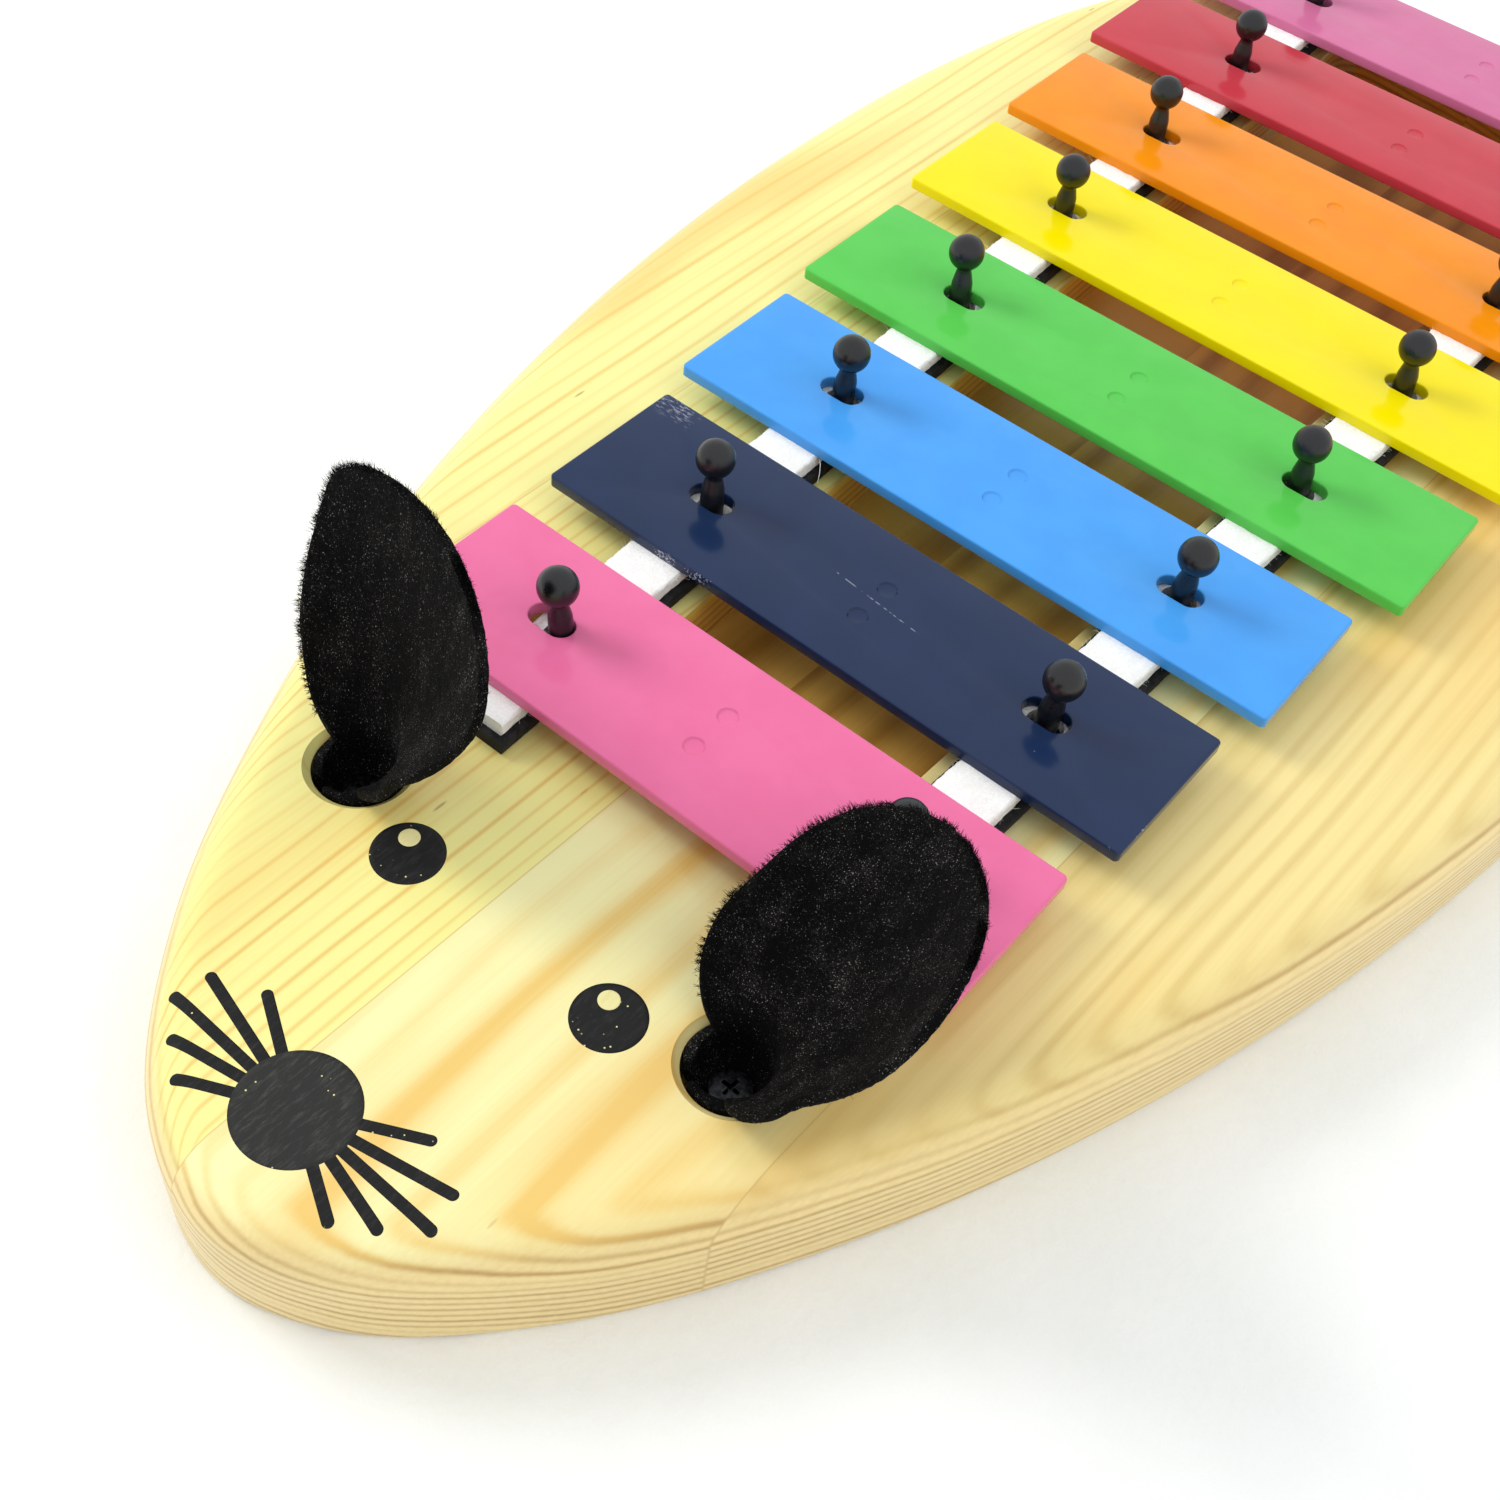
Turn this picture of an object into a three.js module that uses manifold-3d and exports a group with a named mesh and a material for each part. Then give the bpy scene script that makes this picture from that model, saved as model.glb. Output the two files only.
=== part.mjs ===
// A glockenspiel on a mouse-shaped pine board: eight painted metal bars lie on two felt rails,
// each held loosely by two ball-headed pegs, over a routed hollow. Two leather ears stand in holes.
// Millimetres. X to the player's right, Y from the nose to the tail, Z up.
// The origin lies under the middle of the board, on the surface that it rests on.

import * as THREE from 'three';
import { mergeVertices } from 'three/addons/utils/BufferGeometryUtils.js';
import Module from 'manifold-3d';

const wasm = await Module();
wasm.setup();

// Clearances
const fit = 0.3; // running gap round a piece that sits in a cut
const overrun = 2; // how far a cutting tool reaches past the face it opens

// Board
const boardHalfWidth = 84.6;
const boardThickness = 18;
const topEdgeRadius = 6;
const footEdgeRadius = 1.2;
const outlineSteps = 96;
const topEdgeSteps = 5;
const footEdgeSteps = 2;
// Outline from the nose to the tail: share of the length, share of the half width
const boardOutlineShares = [
  [0, 0], [0.016, 0.18], [0.07, 0.388], [0.155, 0.585], [0.25, 0.742], [0.37, 0.88],
  [0.495, 0.967], [0.615, 1], [0.735, 0.987], [0.86, 0.905], [0.945, 0.767], [0.985, 0.505], [1, 0],
];

// How the rest is laid out on the board: a little askew and to one side
const layoutTurn = 1.4; // degrees, bars, rails and hollow about the board's middle
const layoutShift = -1.5; // the same, to the right
const faceShift = -0.8; // ears, to the right of the board's middle

// Bars, the shortest by the nose
const barCount = 8;
const barWidth = 25;
const barThickness = 2;
const barPitch = 32;
const shortestBarLength = 92;
const longestBarLength = 124.6;
const noseToFirstBar = 83.1; // from the board's nose to the middle of the first bar
const lastBarToTail = 22.5; // from the middle of the last bar to the board's tail end
const barCornerRadius = 0.8;
const barEdgeEase = 0.3;
const barCornerSteps = 3;
const slotLength = 7;
const slotWidth = 4;
const slotEndSteps = 5;
const dimpleRadius = 1.7;
const dimpleDepth = 0.7;
const dimpleSpacing = 6.6;
const dimpleSides = 10;
const barColors = [0xec5f9c, 0x1d2148, 0x3795f0, 0x43c33f, 0xf8e714, 0xfb8f14, 0xcf1c30, 0xd9509a];

// Pegs that hold the bars
const firstPegHalfSpan = 27.2;
const lastPegHalfSpan = 35.3;
const pegStemRadius = 1.45;
const pegFootRadius = 1.65;
const pegHeadRadius = 2.8;
const pegHeadHeight = 7.3; // centre of the ball above the bar
const pegSeatDepth = 10; // in the board
const pegSides = 12;
const pegHeadSteps = 6;
// How far each ball stands aside of its foot: share of the head height, to the right and to the tail,
// for the left and the right peg of each bar
const pegLeanShares = [
  [-0.05, -0.04, 0.03, 0.03], [-0.05, 0.06, 0.08, -0.01], [0.06, -0.03, 0.07, -0.06],
  [-0.09, 0.06, -0.05, -0.05], [0.03, -0.06, -0.05, -0.06], [-0.03, 0.02, 0.04, 0.03],
  [0.02, -0.03, -0.04, 0.04], [0.05, 0.03, -0.03, -0.03],
];

// Rails: a white felt strip on a black rubber strip
const rubberWidth = 11;
const rubberThickness = 2;
const feltWidth = 9;
const feltThickness = 2;
const railFrontOverhang = 3.8; // felt past the first bar's near edge
const railRearInset = 2.5; // felt short of the last bar's far edge
const rubberExtraLength = 1; // rubber past the felt, each end

// Routed hollow under the bars
const hollowLedge = 2.3; // flat wood between the rubber and the hollow
const hollowDepth = 8;
const hollowEndInset = 7.5; // hollow's ends in from the outer bars' far edges
const hollowCornerRadius = 6;
const hollowCornerSteps = 5;

// Ear holes and their screws
const earHalfSpan = 31;
const earBehindNose = 52.1;
const earHoleRadius = 6.2;
const earHoleDepth = 8.6;
const earHoleChamfer = 1;
const earHoleSides = 28;
const screwHeadRadius = 2.6;
const screwHeadHeight = 1.4;
const screwShankRadius = 1.2;
const screwSeat = 0.15; // under the head, over the leather
const screwLengthInBoard = 5.5;
const screwSides = 12;

// Leather ears: an oval sheet pushed into its hole as a cup, opening above it
const earThickness = 1.3;
const earCupRadius = 4.1; // to the middle of the sheet
const earMouthHalfWidth = 9.2;
const earOpenRadius = 14.4;
const earTipRadius = 55;
const earOpenHeight = 11;
const earBendShare = 0.45;
const earTipShare = 0.997;
const earCupHalfTurn = 160; // degrees from the sheet's middle to its edge, in the hole
const earBottomOpening = 36; // degrees from straight down to the edge of the screw's opening
const earCupSteps = 4;
const earLeafSteps = 12;
const earSideSteps = 14;
// Each ear's length above the board, its half width and where along it that is, then how it stands:
// degrees back, to the right, about the hole and in a twist at the tip, and how far its sheet sits to
// the right of its hole's middle
const earLeft = {
  length: 39.2, halfWidth: 20.3, widest: 0.75, back: 8.9, right: 5.8, turn: -22.5, twist: 3.8, skew: -0.7,
};
const earRight = {
  length: 38.1, halfWidth: 19.2, widest: 0.62, back: 28.9, right: 0.9, turn: -40.9, twist: -19.3, skew: -3.2,
};

// Heights and places that follow from the sizes
const boardTop = boardThickness;
const feltBottom = boardTop + rubberThickness;
const barBottom = feltBottom + feltThickness;
const barTop = barBottom + barThickness;
const boardLength = noseToFirstBar + (barCount - 1) * barPitch + lastBarToTail;
const noseY = -boardLength / 2;
const firstBarY = noseY + noseToFirstBar;
const lastBarY = firstBarY + (barCount - 1) * barPitch;
const railFrontY = firstBarY - barWidth / 2 - railFrontOverhang;
const railRearY = lastBarY + barWidth / 2 - railRearInset;
const earY = noseY + earBehindNose;
const earPivotZ = boardTop - earHoleDepth + fit + earCupRadius + earThickness / 2;

const barY = (index) => firstBarY + index * barPitch;
const barLength = (index) =>
  THREE.MathUtils.lerp(shortestBarLength, longestBarLength, index / (barCount - 1));
// Half the distance between the two rails' middles, at any place along the board
const pegHalfSpan = (y) =>
  THREE.MathUtils.mapLinear(y, firstBarY, lastBarY, firstPegHalfSpan, lastPegHalfSpan);
const radians = THREE.MathUtils.degToRad;
const upright = new THREE.Vector3(0, 0, 1);

// Where an ear's hole is, on the board's underside
const earPlace = (side) => new THREE.Vector3(side * earHalfSpan + faceShift, earY, 0);

// From the bars' own layout, square to them about their middle line, to the board
const layoutMatrix = new THREE.Matrix4().makeTranslation(layoutShift, 0, 0)
  .multiply(new THREE.Matrix4().makeRotationZ(radians(layoutTurn)));

// Finishes
const finish = (color, roughness, metalness) =>
  new THREE.MeshStandardMaterial({ color, roughness, metalness });
const pineFinish = () => finish(0xf0d68c, 0.35, 0);
const rubberFinish = () => finish(0x17171a, 0.8, 0);
const feltFinish = () => finish(0xf7f6f0, 0.95, 0);
const pegFinish = () => finish(0x141516, 0.3, 0);
const leatherFinish = () => finish(0x121211, 0.9, 0);
const screwFinish = () => finish(0x8d8f92, 0.35, 1);
const barFinish = (index) => finish(barColors[index % barColors.length], 0.25, 0.1);

// Booleans
function solidOf(geometry, matrix = new THREE.Matrix4()) {
  const bare = geometry.clone().applyMatrix4(matrix);
  bare.deleteAttribute('normal');
  bare.deleteAttribute('uv');
  const merged = mergeVertices(bare);
  return new wasm.Manifold(new wasm.Mesh({
    numProp: 3,
    vertProperties: new Float32Array(merged.attributes.position.array),
    triVerts: new Uint32Array(merged.index.array),
  }));
}

function geometryOf(solid) {
  const mesh = solid.getMesh();
  const geometry = new THREE.BufferGeometry();
  geometry.setAttribute('position', new THREE.BufferAttribute(mesh.vertProperties, 3));
  geometry.setIndex(new THREE.BufferAttribute(mesh.triVerts, 1));
  geometry.computeVertexNormals();
  return geometry;
}

function cutFrom(geometry, tools) {
  return geometryOf(tools.reduce((body, tool) => body.subtract(tool), solidOf(geometry)));
}

function namedMesh(name, geometry, material) {
  const mesh = new THREE.Mesh(geometry, material);
  mesh.name = name;
  return mesh;
}

// A closed solid from rings of equal count, each [points, height], from the lowest to the highest
function stackedRings(rings) {
  const count = rings[0][0].length;
  const position = rings.flatMap(([points, z]) => points.flatMap((p) => [p.x, p.y, z]));
  const index = [];
  for (let ring = 0; ring + 1 < rings.length; ring += 1) {
    for (let k = 0; k < count; k += 1) {
      const a = ring * count + k;
      const b = ring * count + ((k + 1) % count);
      index.push(a, b, b + count, a, b + count, a + count);
    }
  }
  const top = (rings.length - 1) * count;
  for (const [a, b, c] of THREE.ShapeUtils.triangulateShape(rings[0][0], [])) index.push(a, c, b);
  for (const [a, b, c] of THREE.ShapeUtils.triangulateShape(rings.at(-1)[0], [])) {
    index.push(top + a, top + b, top + c);
  }
  const geometry = new THREE.BufferGeometry();
  geometry.setAttribute('position', new THREE.Float32BufferAttribute(position, 3));
  geometry.setIndex(index);
  geometry.computeVertexNormals();
  return geometry;
}

// An upright lathed solid: profile points [radius, height] from the axis to the axis, bottom first
function lathed(profile, sides) {
  const points = profile.map(([radius, height]) => new THREE.Vector2(radius, height));
  return new THREE.LatheGeometry(points, sides).rotateX(Math.PI / 2);
}

function onCircle(centre, radius, angle) {
  return new THREE.Vector2(Math.cos(angle), Math.sin(angle)).multiplyScalar(radius).add(centre);
}

// A convex outline with its corners rounded, counter-clockwise
function roundedOutline(corners, radius, steps) {
  const outline = [];
  corners.forEach((corner, k) => {
    const before = corners.at(k - 1).clone().sub(corner).normalize();
    const after = corners[(k + 1) % corners.length].clone().sub(corner).normalize();
    const halfAngle = Math.acos(THREE.MathUtils.clamp(before.dot(after), -1, 1)) / 2;
    const middle = before.clone().add(after).normalize();
    const centre = corner.clone().addScaledVector(middle, radius / Math.sin(halfAngle));
    const start = new THREE.Vector2(before.y, -before.x).angle() + Math.PI;
    const sweep = Math.PI - 2 * halfAngle;
    for (let step = 0; step <= steps; step += 1) {
      const angle = start + (sweep * step) / steps;
      outline.push(onCircle(centre, radius, angle));
    }
  });
  return outline;
}

// Board
function boardOutline() {
  const side = boardOutlineShares.map(([along, across]) =>
    new THREE.Vector3(across * boardHalfWidth, noseY + along * boardLength, 0));
  const other = side.slice(1, -1).reverse().map((p) => new THREE.Vector3(-p.x, p.y, 0));
  const curve = new THREE.CatmullRomCurve3([...side, ...other], true, 'centripetal');
  return curve.getSpacedPoints(outlineSteps).slice(0, -1).map((p) => new THREE.Vector2(p.x, p.y));
}

function drawnIn(outline, inset) {
  return outline.map((point, k) => {
    const next = outline[(k + 1) % outline.length];
    const before = outline.at(k - 1);
    const along = next.clone().sub(before).normalize();
    return new THREE.Vector2(point.x - along.y * inset, point.y + along.x * inset);
  });
}

function boardBlank() {
  const outline = boardOutline();
  const rings = [];
  for (let step = 0; step <= footEdgeSteps; step += 1) {
    const angle = (Math.PI / 2) * (1 - step / footEdgeSteps);
    const inset = footEdgeRadius * (1 - Math.cos(angle));
    rings.push([drawnIn(outline, inset), footEdgeRadius * (1 - Math.sin(angle))]);
  }
  for (let step = 0; step <= topEdgeSteps; step += 1) {
    const angle = (Math.PI / 2) * (step / topEdgeSteps);
    const height = boardTop - topEdgeRadius * (1 - Math.sin(angle));
    rings.push([drawnIn(outline, topEdgeRadius * (1 - Math.cos(angle))), height]);
  }
  return stackedRings(rings);
}

function hollowTool() {
  const front = firstBarY - barWidth / 2 + hollowEndInset;
  const rear = lastBarY + barWidth / 2 - hollowEndInset;
  const halfWidth = (y) => pegHalfSpan(y) - rubberWidth / 2 - hollowLedge;
  const corners = [[-1, front], [1, front], [1, rear], [-1, rear]].map(([side, y]) =>
    new THREE.Vector2(side * halfWidth(y), y));
  const outline = roundedOutline(corners, hollowCornerRadius, hollowCornerSteps);
  const rings = [[outline, boardTop - hollowDepth], [outline, boardTop + overrun]];
  return solidOf(stackedRings(rings), layoutMatrix);
}

function earHoleTool(side) {
  const floor = boardTop - earHoleDepth;
  const mouth = earHoleRadius + earHoleChamfer;
  const hole = lathed([
    [0, floor], [earHoleRadius, floor], [earHoleRadius, boardTop - earHoleChamfer],
    [mouth, boardTop], [mouth, boardTop + overrun], [0, boardTop + overrun],
  ], earHoleSides);
  const pilotRadius = screwShankRadius + fit;
  const pilotFloor = floor - screwLengthInBoard - fit;
  const pilot = lathed([
    [0, pilotFloor], [pilotRadius, pilotFloor], [pilotRadius, floor + overrun], [0, floor + overrun],
  ], screwSides);
  const place = new THREE.Matrix4().setPosition(earPlace(side));
  return solidOf(hole, place).add(solidOf(pilot, place));
}

// Where a peg stands: its foot in the bar's slot, its ball a little aside
function pegMatrix(index, side) {
  const y = barY(index);
  const [leftX, leftY, rightX, rightY] = pegLeanShares[index % pegLeanShares.length];
  const lean = side < 0 ? new THREE.Vector3(leftX, leftY, 1) : new THREE.Vector3(rightX, rightY, 1);
  const turn = new THREE.Quaternion().setFromUnitVectors(upright, lean.normalize());
  const foot = new THREE.Vector3(side * pegHalfSpan(y), y, barTop);
  const stand = new THREE.Matrix4().compose(foot, turn, new THREE.Vector3(1, 1, 1));
  return stand.premultiply(layoutMatrix);
}

function pegHoleTool(index, side) {
  const radius = pegFootRadius + fit;
  const floor = boardTop - barTop - pegSeatDepth - fit;
  const drill = lathed([[0, floor], [radius, floor], [radius, overrun], [0, overrun]], pegSides);
  return solidOf(drill, pegMatrix(index, side));
}

function pegHoleTools(sides) {
  const tools = [];
  for (let index = 0; index < barCount; index += 1) {
    for (const side of sides) tools.push(pegHoleTool(index, side));
  }
  return tools;
}

function board() {
  const tools = [hollowTool(), earHoleTool(-1), earHoleTool(1), ...pegHoleTools([-1, 1])];
  return namedMesh('body_board', cutFrom(boardBlank(), tools), pineFinish());
}

// Rails
function railStrip(side, width, frontY, rearY, bottom, top) {
  const middle = (y) => side * pegHalfSpan(y);
  const corner = (end, y) => new THREE.Vector2(middle(y) + (end * width) / 2, y);
  const outline = [corner(-1, frontY), corner(1, frontY), corner(1, rearY), corner(-1, rearY)];
  const strip = stackedRings([[outline, bottom], [outline, top]]).applyMatrix4(layoutMatrix);
  return cutFrom(strip, pegHoleTools([side]));
}

function rubberStrip(name, side) {
  const front = railFrontY - rubberExtraLength;
  const rear = railRearY + rubberExtraLength;
  return namedMesh(name, railStrip(side, rubberWidth, front, rear, boardTop, feltBottom), rubberFinish());
}

function feltStrip(name, side) {
  const strip = railStrip(side, feltWidth, railFrontY, railRearY, feltBottom, barBottom);
  return namedMesh(name, strip, feltFinish());
}

// Pegs, upright with the origin in the bar's upper face
function pegGeometry() {
  const foot = boardTop - barTop - pegSeatDepth;
  const profile = [
    [0, foot], [pegFootRadius, foot], [pegFootRadius, -barThickness], [pegStemRadius, barThickness],
  ];
  const neckAngle = Math.asin(pegStemRadius / pegHeadRadius);
  for (let step = 0; step <= pegHeadSteps; step += 1) {
    const angle = neckAngle + ((Math.PI - neckAngle) * step) / pegHeadSteps;
    const radius = step === pegHeadSteps ? 0 : pegHeadRadius * Math.sin(angle);
    profile.push([radius, pegHeadHeight - pegHeadRadius * Math.cos(angle)]);
  }
  return lathed(profile, pegSides);
}

function peg(name, index, side) {
  const mesh = namedMesh(name, pegGeometry(), pegFinish());
  pegMatrix(index, side).decompose(mesh.position, mesh.quaternion, mesh.scale);
  return mesh;
}

// Bars
function slotPath(x) {
  const straight = (slotLength - slotWidth) / 2;
  const points = [];
  for (const [end, start] of [[1, -Math.PI / 2], [-1, Math.PI / 2]]) {
    for (let step = 0; step <= slotEndSteps; step += 1) {
      const middle = new THREE.Vector2(x + end * straight, 0);
      points.push(onCircle(middle, slotWidth / 2, start + (Math.PI * step) / slotEndSteps));
    }
  }
  return new THREE.Path(points);
}

function barGeometry(index) {
  const halfLength = barLength(index) / 2;
  const halfWidth = barWidth / 2;
  const corners = [[-1, -1], [1, -1], [1, 1], [-1, 1]].map(([x, y]) =>
    new THREE.Vector2(x * halfLength, y * halfWidth));
  const shape = new THREE.Shape(roundedOutline(corners, barCornerRadius, barCornerSteps));
  for (const side of [-1, 1]) shape.holes.push(slotPath(side * pegHalfSpan(barY(index))));
  const plate = new THREE.ExtrudeGeometry(shape, {
    depth: barThickness - 2 * barEdgeEase, bevelEnabled: true, bevelThickness: barEdgeEase,
    bevelSize: barEdgeEase, bevelOffset: -barEdgeEase, bevelSegments: 1, steps: 1,
  }).translate(0, 0, barEdgeEase);
  return cutFrom(plate, [-1, 1].map((side) => dimpleTool(side)));
}

// A drill's cone, standing on its tip under the bar's upper face
function dimpleTool(side) {
  const slope = dimpleRadius / dimpleDepth;
  const cone = lathed([
    [0, barThickness - dimpleDepth], [dimpleRadius + overrun * slope, barThickness + overrun],
    [0, barThickness + overrun],
  ], dimpleSides);
  return solidOf(cone, new THREE.Matrix4().makeTranslation(0, (side * dimpleSpacing) / 2, 0));
}

function bar(index) {
  const mesh = namedMesh(`bar_${barCount - index}`, barGeometry(index), barFinish(index));
  mesh.position.set(0, barY(index), barBottom).applyMatrix4(layoutMatrix);
  mesh.rotation.z = radians(layoutTurn);
  return mesh;
}

// Ears
// Half the sheet's width at a height above the hole
function earHalfWidthAt(pose, share) {
  if (share < pose.widest) {
    const below = (pose.widest - share) / pose.widest;
    return pose.halfWidth - (pose.halfWidth - earMouthHalfWidth) * below * below;
  }
  const above = (share - pose.widest) / (1 - pose.widest);
  return pose.halfWidth * Math.sqrt(Math.max(0, 1 - above * above));
}

// The angle at which a point of the sheet lies, levelling off where the edges would meet
function earAngle(distance, radius) {
  const limit = radians(earCupHalfTurn);
  return limit * Math.tanh(distance / radius / limit);
}

// A point of the leaf above the hole, the ear's open side to the nose
function earLeafPoint(pose, share, across) {
  const height = share * pose.length;
  const smooth = (from, to) => THREE.MathUtils.smoothstep(height, from, to);
  const radius = earCupRadius + (earOpenRadius - earCupRadius) * smooth(0, earOpenHeight)
    + (earTipRadius - earOpenRadius) * smooth(earOpenHeight, pose.length);
  const skew = pose.skew * Math.sin(Math.PI * share);
  const angle = earAngle(across * earHalfWidthAt(pose, share) + skew, radius);
  const bend = smooth(0, earBendShare * pose.length);
  return new THREE.Vector3(radius * Math.sin(angle), earCupRadius - radius + radius * Math.cos(angle), height)
    .applyAxisAngle(upright, radians(pose.twist) * smooth(0, pose.length))
    .applyAxisAngle(new THREE.Vector3(1, 0, 0), -radians(pose.back) * bend)
    .applyAxisAngle(new THREE.Vector3(0, 1, 0), radians(pose.right) * bend);
}

// A point of the round-bottomed cup in the hole, from the screw's opening up to the hole's mouth
function earCupPoint(share, across) {
  const angle = earAngle(across * earMouthHalfWidth, earCupRadius);
  const polar = radians(earBottomOpening) + (Math.PI / 2 - radians(earBottomOpening)) * share;
  const radius = earCupRadius * Math.sin(polar);
  const pivot = earPivotZ - boardTop;
  const height = pivot - earCupRadius * Math.cos(polar);
  return new THREE.Vector3(radius * Math.sin(angle), radius * Math.cos(angle), height);
}

function earRow(pose, row) {
  if (row < earCupSteps) return (across) => earCupPoint(row / (earCupSteps - 1), across);
  const share = earTipShare * Math.sin(((Math.PI / 2) * (row - earCupSteps)) / earLeafSteps);
  return (across) => earLeafPoint(pose, share, across);
}

// A closed sheet of even thickness about a grid of points, rows upward and columns across
function thickSheet(grid, thickness) {
  const rows = grid.length;
  const columns = grid[0].length;
  const at = (row, column) =>
    grid[THREE.MathUtils.clamp(row, 0, rows - 1)][THREE.MathUtils.clamp(column, 0, columns - 1)];
  const position = [];
  for (const face of [1, -1]) {
    for (let row = 0; row < rows; row += 1) {
      for (let column = 0; column < columns; column += 1) {
        const across = at(row, column + 1).clone().sub(at(row, column - 1));
        const up = at(row + 1, column).clone().sub(at(row - 1, column));
        const normal = across.cross(up).normalize();
        position.push(...at(row, column).clone().addScaledVector(normal, (face * thickness) / 2));
      }
    }
  }
  const index = [];
  const quad = (a, b, c, d) => index.push(a, b, c, a, c, d);
  const front = (row, column) => row * columns + column;
  const back = (row, column) => rows * columns + row * columns + column;
  for (let row = 0; row + 1 < rows; row += 1) {
    for (let column = 0; column + 1 < columns; column += 1) {
      quad(front(row, column), front(row, column + 1), front(row + 1, column + 1), front(row + 1, column));
      quad(back(row, column), back(row + 1, column), back(row + 1, column + 1), back(row, column + 1));
    }
    const last = columns - 1;
    quad(front(row, 0), front(row + 1, 0), back(row + 1, 0), back(row, 0));
    quad(front(row, last), back(row, last), back(row + 1, last), front(row + 1, last));
  }
  for (let column = 0; column + 1 < columns; column += 1) {
    const last = rows - 1;
    quad(front(0, column), back(0, column), back(0, column + 1), front(0, column + 1));
    quad(front(last, column), front(last, column + 1), back(last, column + 1), back(last, column));
  }
  const geometry = new THREE.BufferGeometry();
  geometry.setAttribute('position', new THREE.Float32BufferAttribute(position, 3));
  geometry.setIndex(index);
  geometry.computeVertexNormals();
  return geometry;
}

function ear(name, side, pose) {
  const grid = [];
  for (let row = 0; row <= earCupSteps + earLeafSteps; row += 1) {
    const pointAt = earRow(pose, row);
    const columns = [];
    for (let step = 0; step <= earSideSteps; step += 1) columns.push(pointAt((2 * step) / earSideSteps - 1));
    grid.push(columns);
  }
  const mesh = namedMesh(name, thickSheet(grid, earThickness), leatherFinish());
  mesh.position.copy(earPlace(side)).setZ(boardTop);
  mesh.rotation.z = radians(pose.turn);
  return mesh;
}

// A countersunk screw whose cone sits in the ear's cup
function earScrew(name, side) {
  const leather = earPivotZ - earCupRadius + earThickness / 2;
  const neck = leather + screwSeat;
  const tip = boardTop - earHoleDepth - screwLengthInBoard;
  const geometry = lathed([
    [0, tip], [screwShankRadius, tip + screwShankRadius], [screwShankRadius, neck],
    [screwHeadRadius, neck + screwHeadHeight], [0, neck + screwHeadHeight],
  ], screwSides);
  const mesh = namedMesh(name, geometry, screwFinish());
  mesh.position.copy(earPlace(side));
  return mesh;
}

// Assembly
const glockenspiel = new THREE.Group();
glockenspiel.add(board());
for (const [name, side] of [['left', -1], ['right', 1]]) {
  glockenspiel.add(rubberStrip(`rubber_strip_${name}`, side), feltStrip(`felt_strip_${name}`, side));
  glockenspiel.add(earScrew(`ear_screw_${name}`, side));
}
glockenspiel.add(ear('ear_left', -1, earLeft), ear('ear_right', 1, earRight));
for (let index = 0; index < barCount; index += 1) {
  glockenspiel.add(bar(index));
  glockenspiel.add(peg(`peg_${barCount - index}_left`, index, -1));
  glockenspiel.add(peg(`peg_${barCount - index}_right`, index, 1));
}

export default glockenspiel;
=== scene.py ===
"""A toy glockenspiel on a mouse-shaped pine board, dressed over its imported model.

Shapes are surfaces worked out with numpy in millimetres, in the model's own frame: X to the right for a
player behind the nose, Y from the nose to the tail, Z up from the surface that the board rests on.
"""

import logging
import math
from collections.abc import Sequence
from dataclasses import dataclass, field
from enum import Enum

import bmesh
import bpy
import numpy as np
from mathutils import Matrix


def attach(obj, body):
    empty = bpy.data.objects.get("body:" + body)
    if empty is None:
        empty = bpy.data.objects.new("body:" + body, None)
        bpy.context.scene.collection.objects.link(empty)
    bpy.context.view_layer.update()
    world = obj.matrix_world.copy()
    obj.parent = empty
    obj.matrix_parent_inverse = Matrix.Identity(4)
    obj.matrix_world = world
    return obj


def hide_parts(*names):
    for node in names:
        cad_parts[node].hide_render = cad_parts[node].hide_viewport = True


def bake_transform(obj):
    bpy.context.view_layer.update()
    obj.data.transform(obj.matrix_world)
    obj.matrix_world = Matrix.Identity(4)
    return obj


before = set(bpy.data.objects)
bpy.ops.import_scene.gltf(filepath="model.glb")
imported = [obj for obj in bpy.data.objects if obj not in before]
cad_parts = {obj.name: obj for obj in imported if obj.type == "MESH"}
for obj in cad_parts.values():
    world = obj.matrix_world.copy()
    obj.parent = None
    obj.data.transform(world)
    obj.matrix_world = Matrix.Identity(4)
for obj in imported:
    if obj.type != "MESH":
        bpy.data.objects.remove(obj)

MM = 0.001
SMOOTH_ANGLE = 35.0
SEED = 11

Array = np.ndarray
Colour = tuple[int, int, int]
Socket = bpy.types.NodeSocket
Piece = bpy.types.Object

log = logging.getLogger("glockenspiel")


class Side(Enum):
    """The two sides of the board, by the sign of X."""

    LEFT = -1
    RIGHT = 1

    @property
    def word(self) -> str:
        """The side as node names spell it."""
        return self.name.lower()


class Paint(Enum):
    """The bars' enamels from the nose to the tail: the record's slot and the colour of the paint."""

    PINK = ("paint_pink", (222, 104, 150))
    NAVY = ("paint_navy", (24, 41, 73))
    BLUE = ("paint_blue", (67, 149, 225))
    GREEN = ("paint_green", (81, 188, 74))
    YELLOW = ("paint_yellow", (236, 216, 0))
    ORANGE = ("paint_orange", (232, 135, 10))
    RED = ("paint_red", (187, 54, 66))
    MAGENTA = ("paint_magenta", (200, 106, 147))

    @property
    def slot(self) -> str:
        """The record's material slot."""
        return self.value[0]

    @property
    def colour(self) -> Colour:
        """The paint's own colour, in 0 to 255."""
        return self.value[1]


# Surfaces


@dataclass
class Surface:
    """Points in millimetres, and faces in groups that have the same number of corners."""

    points: Array
    faces: list[Array]

    def placed(self, turn: Array, place: Array) -> "Surface":
        """The surface turned by a 3 by 3 matrix and then moved: p' = turn p + place."""
        return Surface(self.points @ turn.T + place, self.faces)


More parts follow.
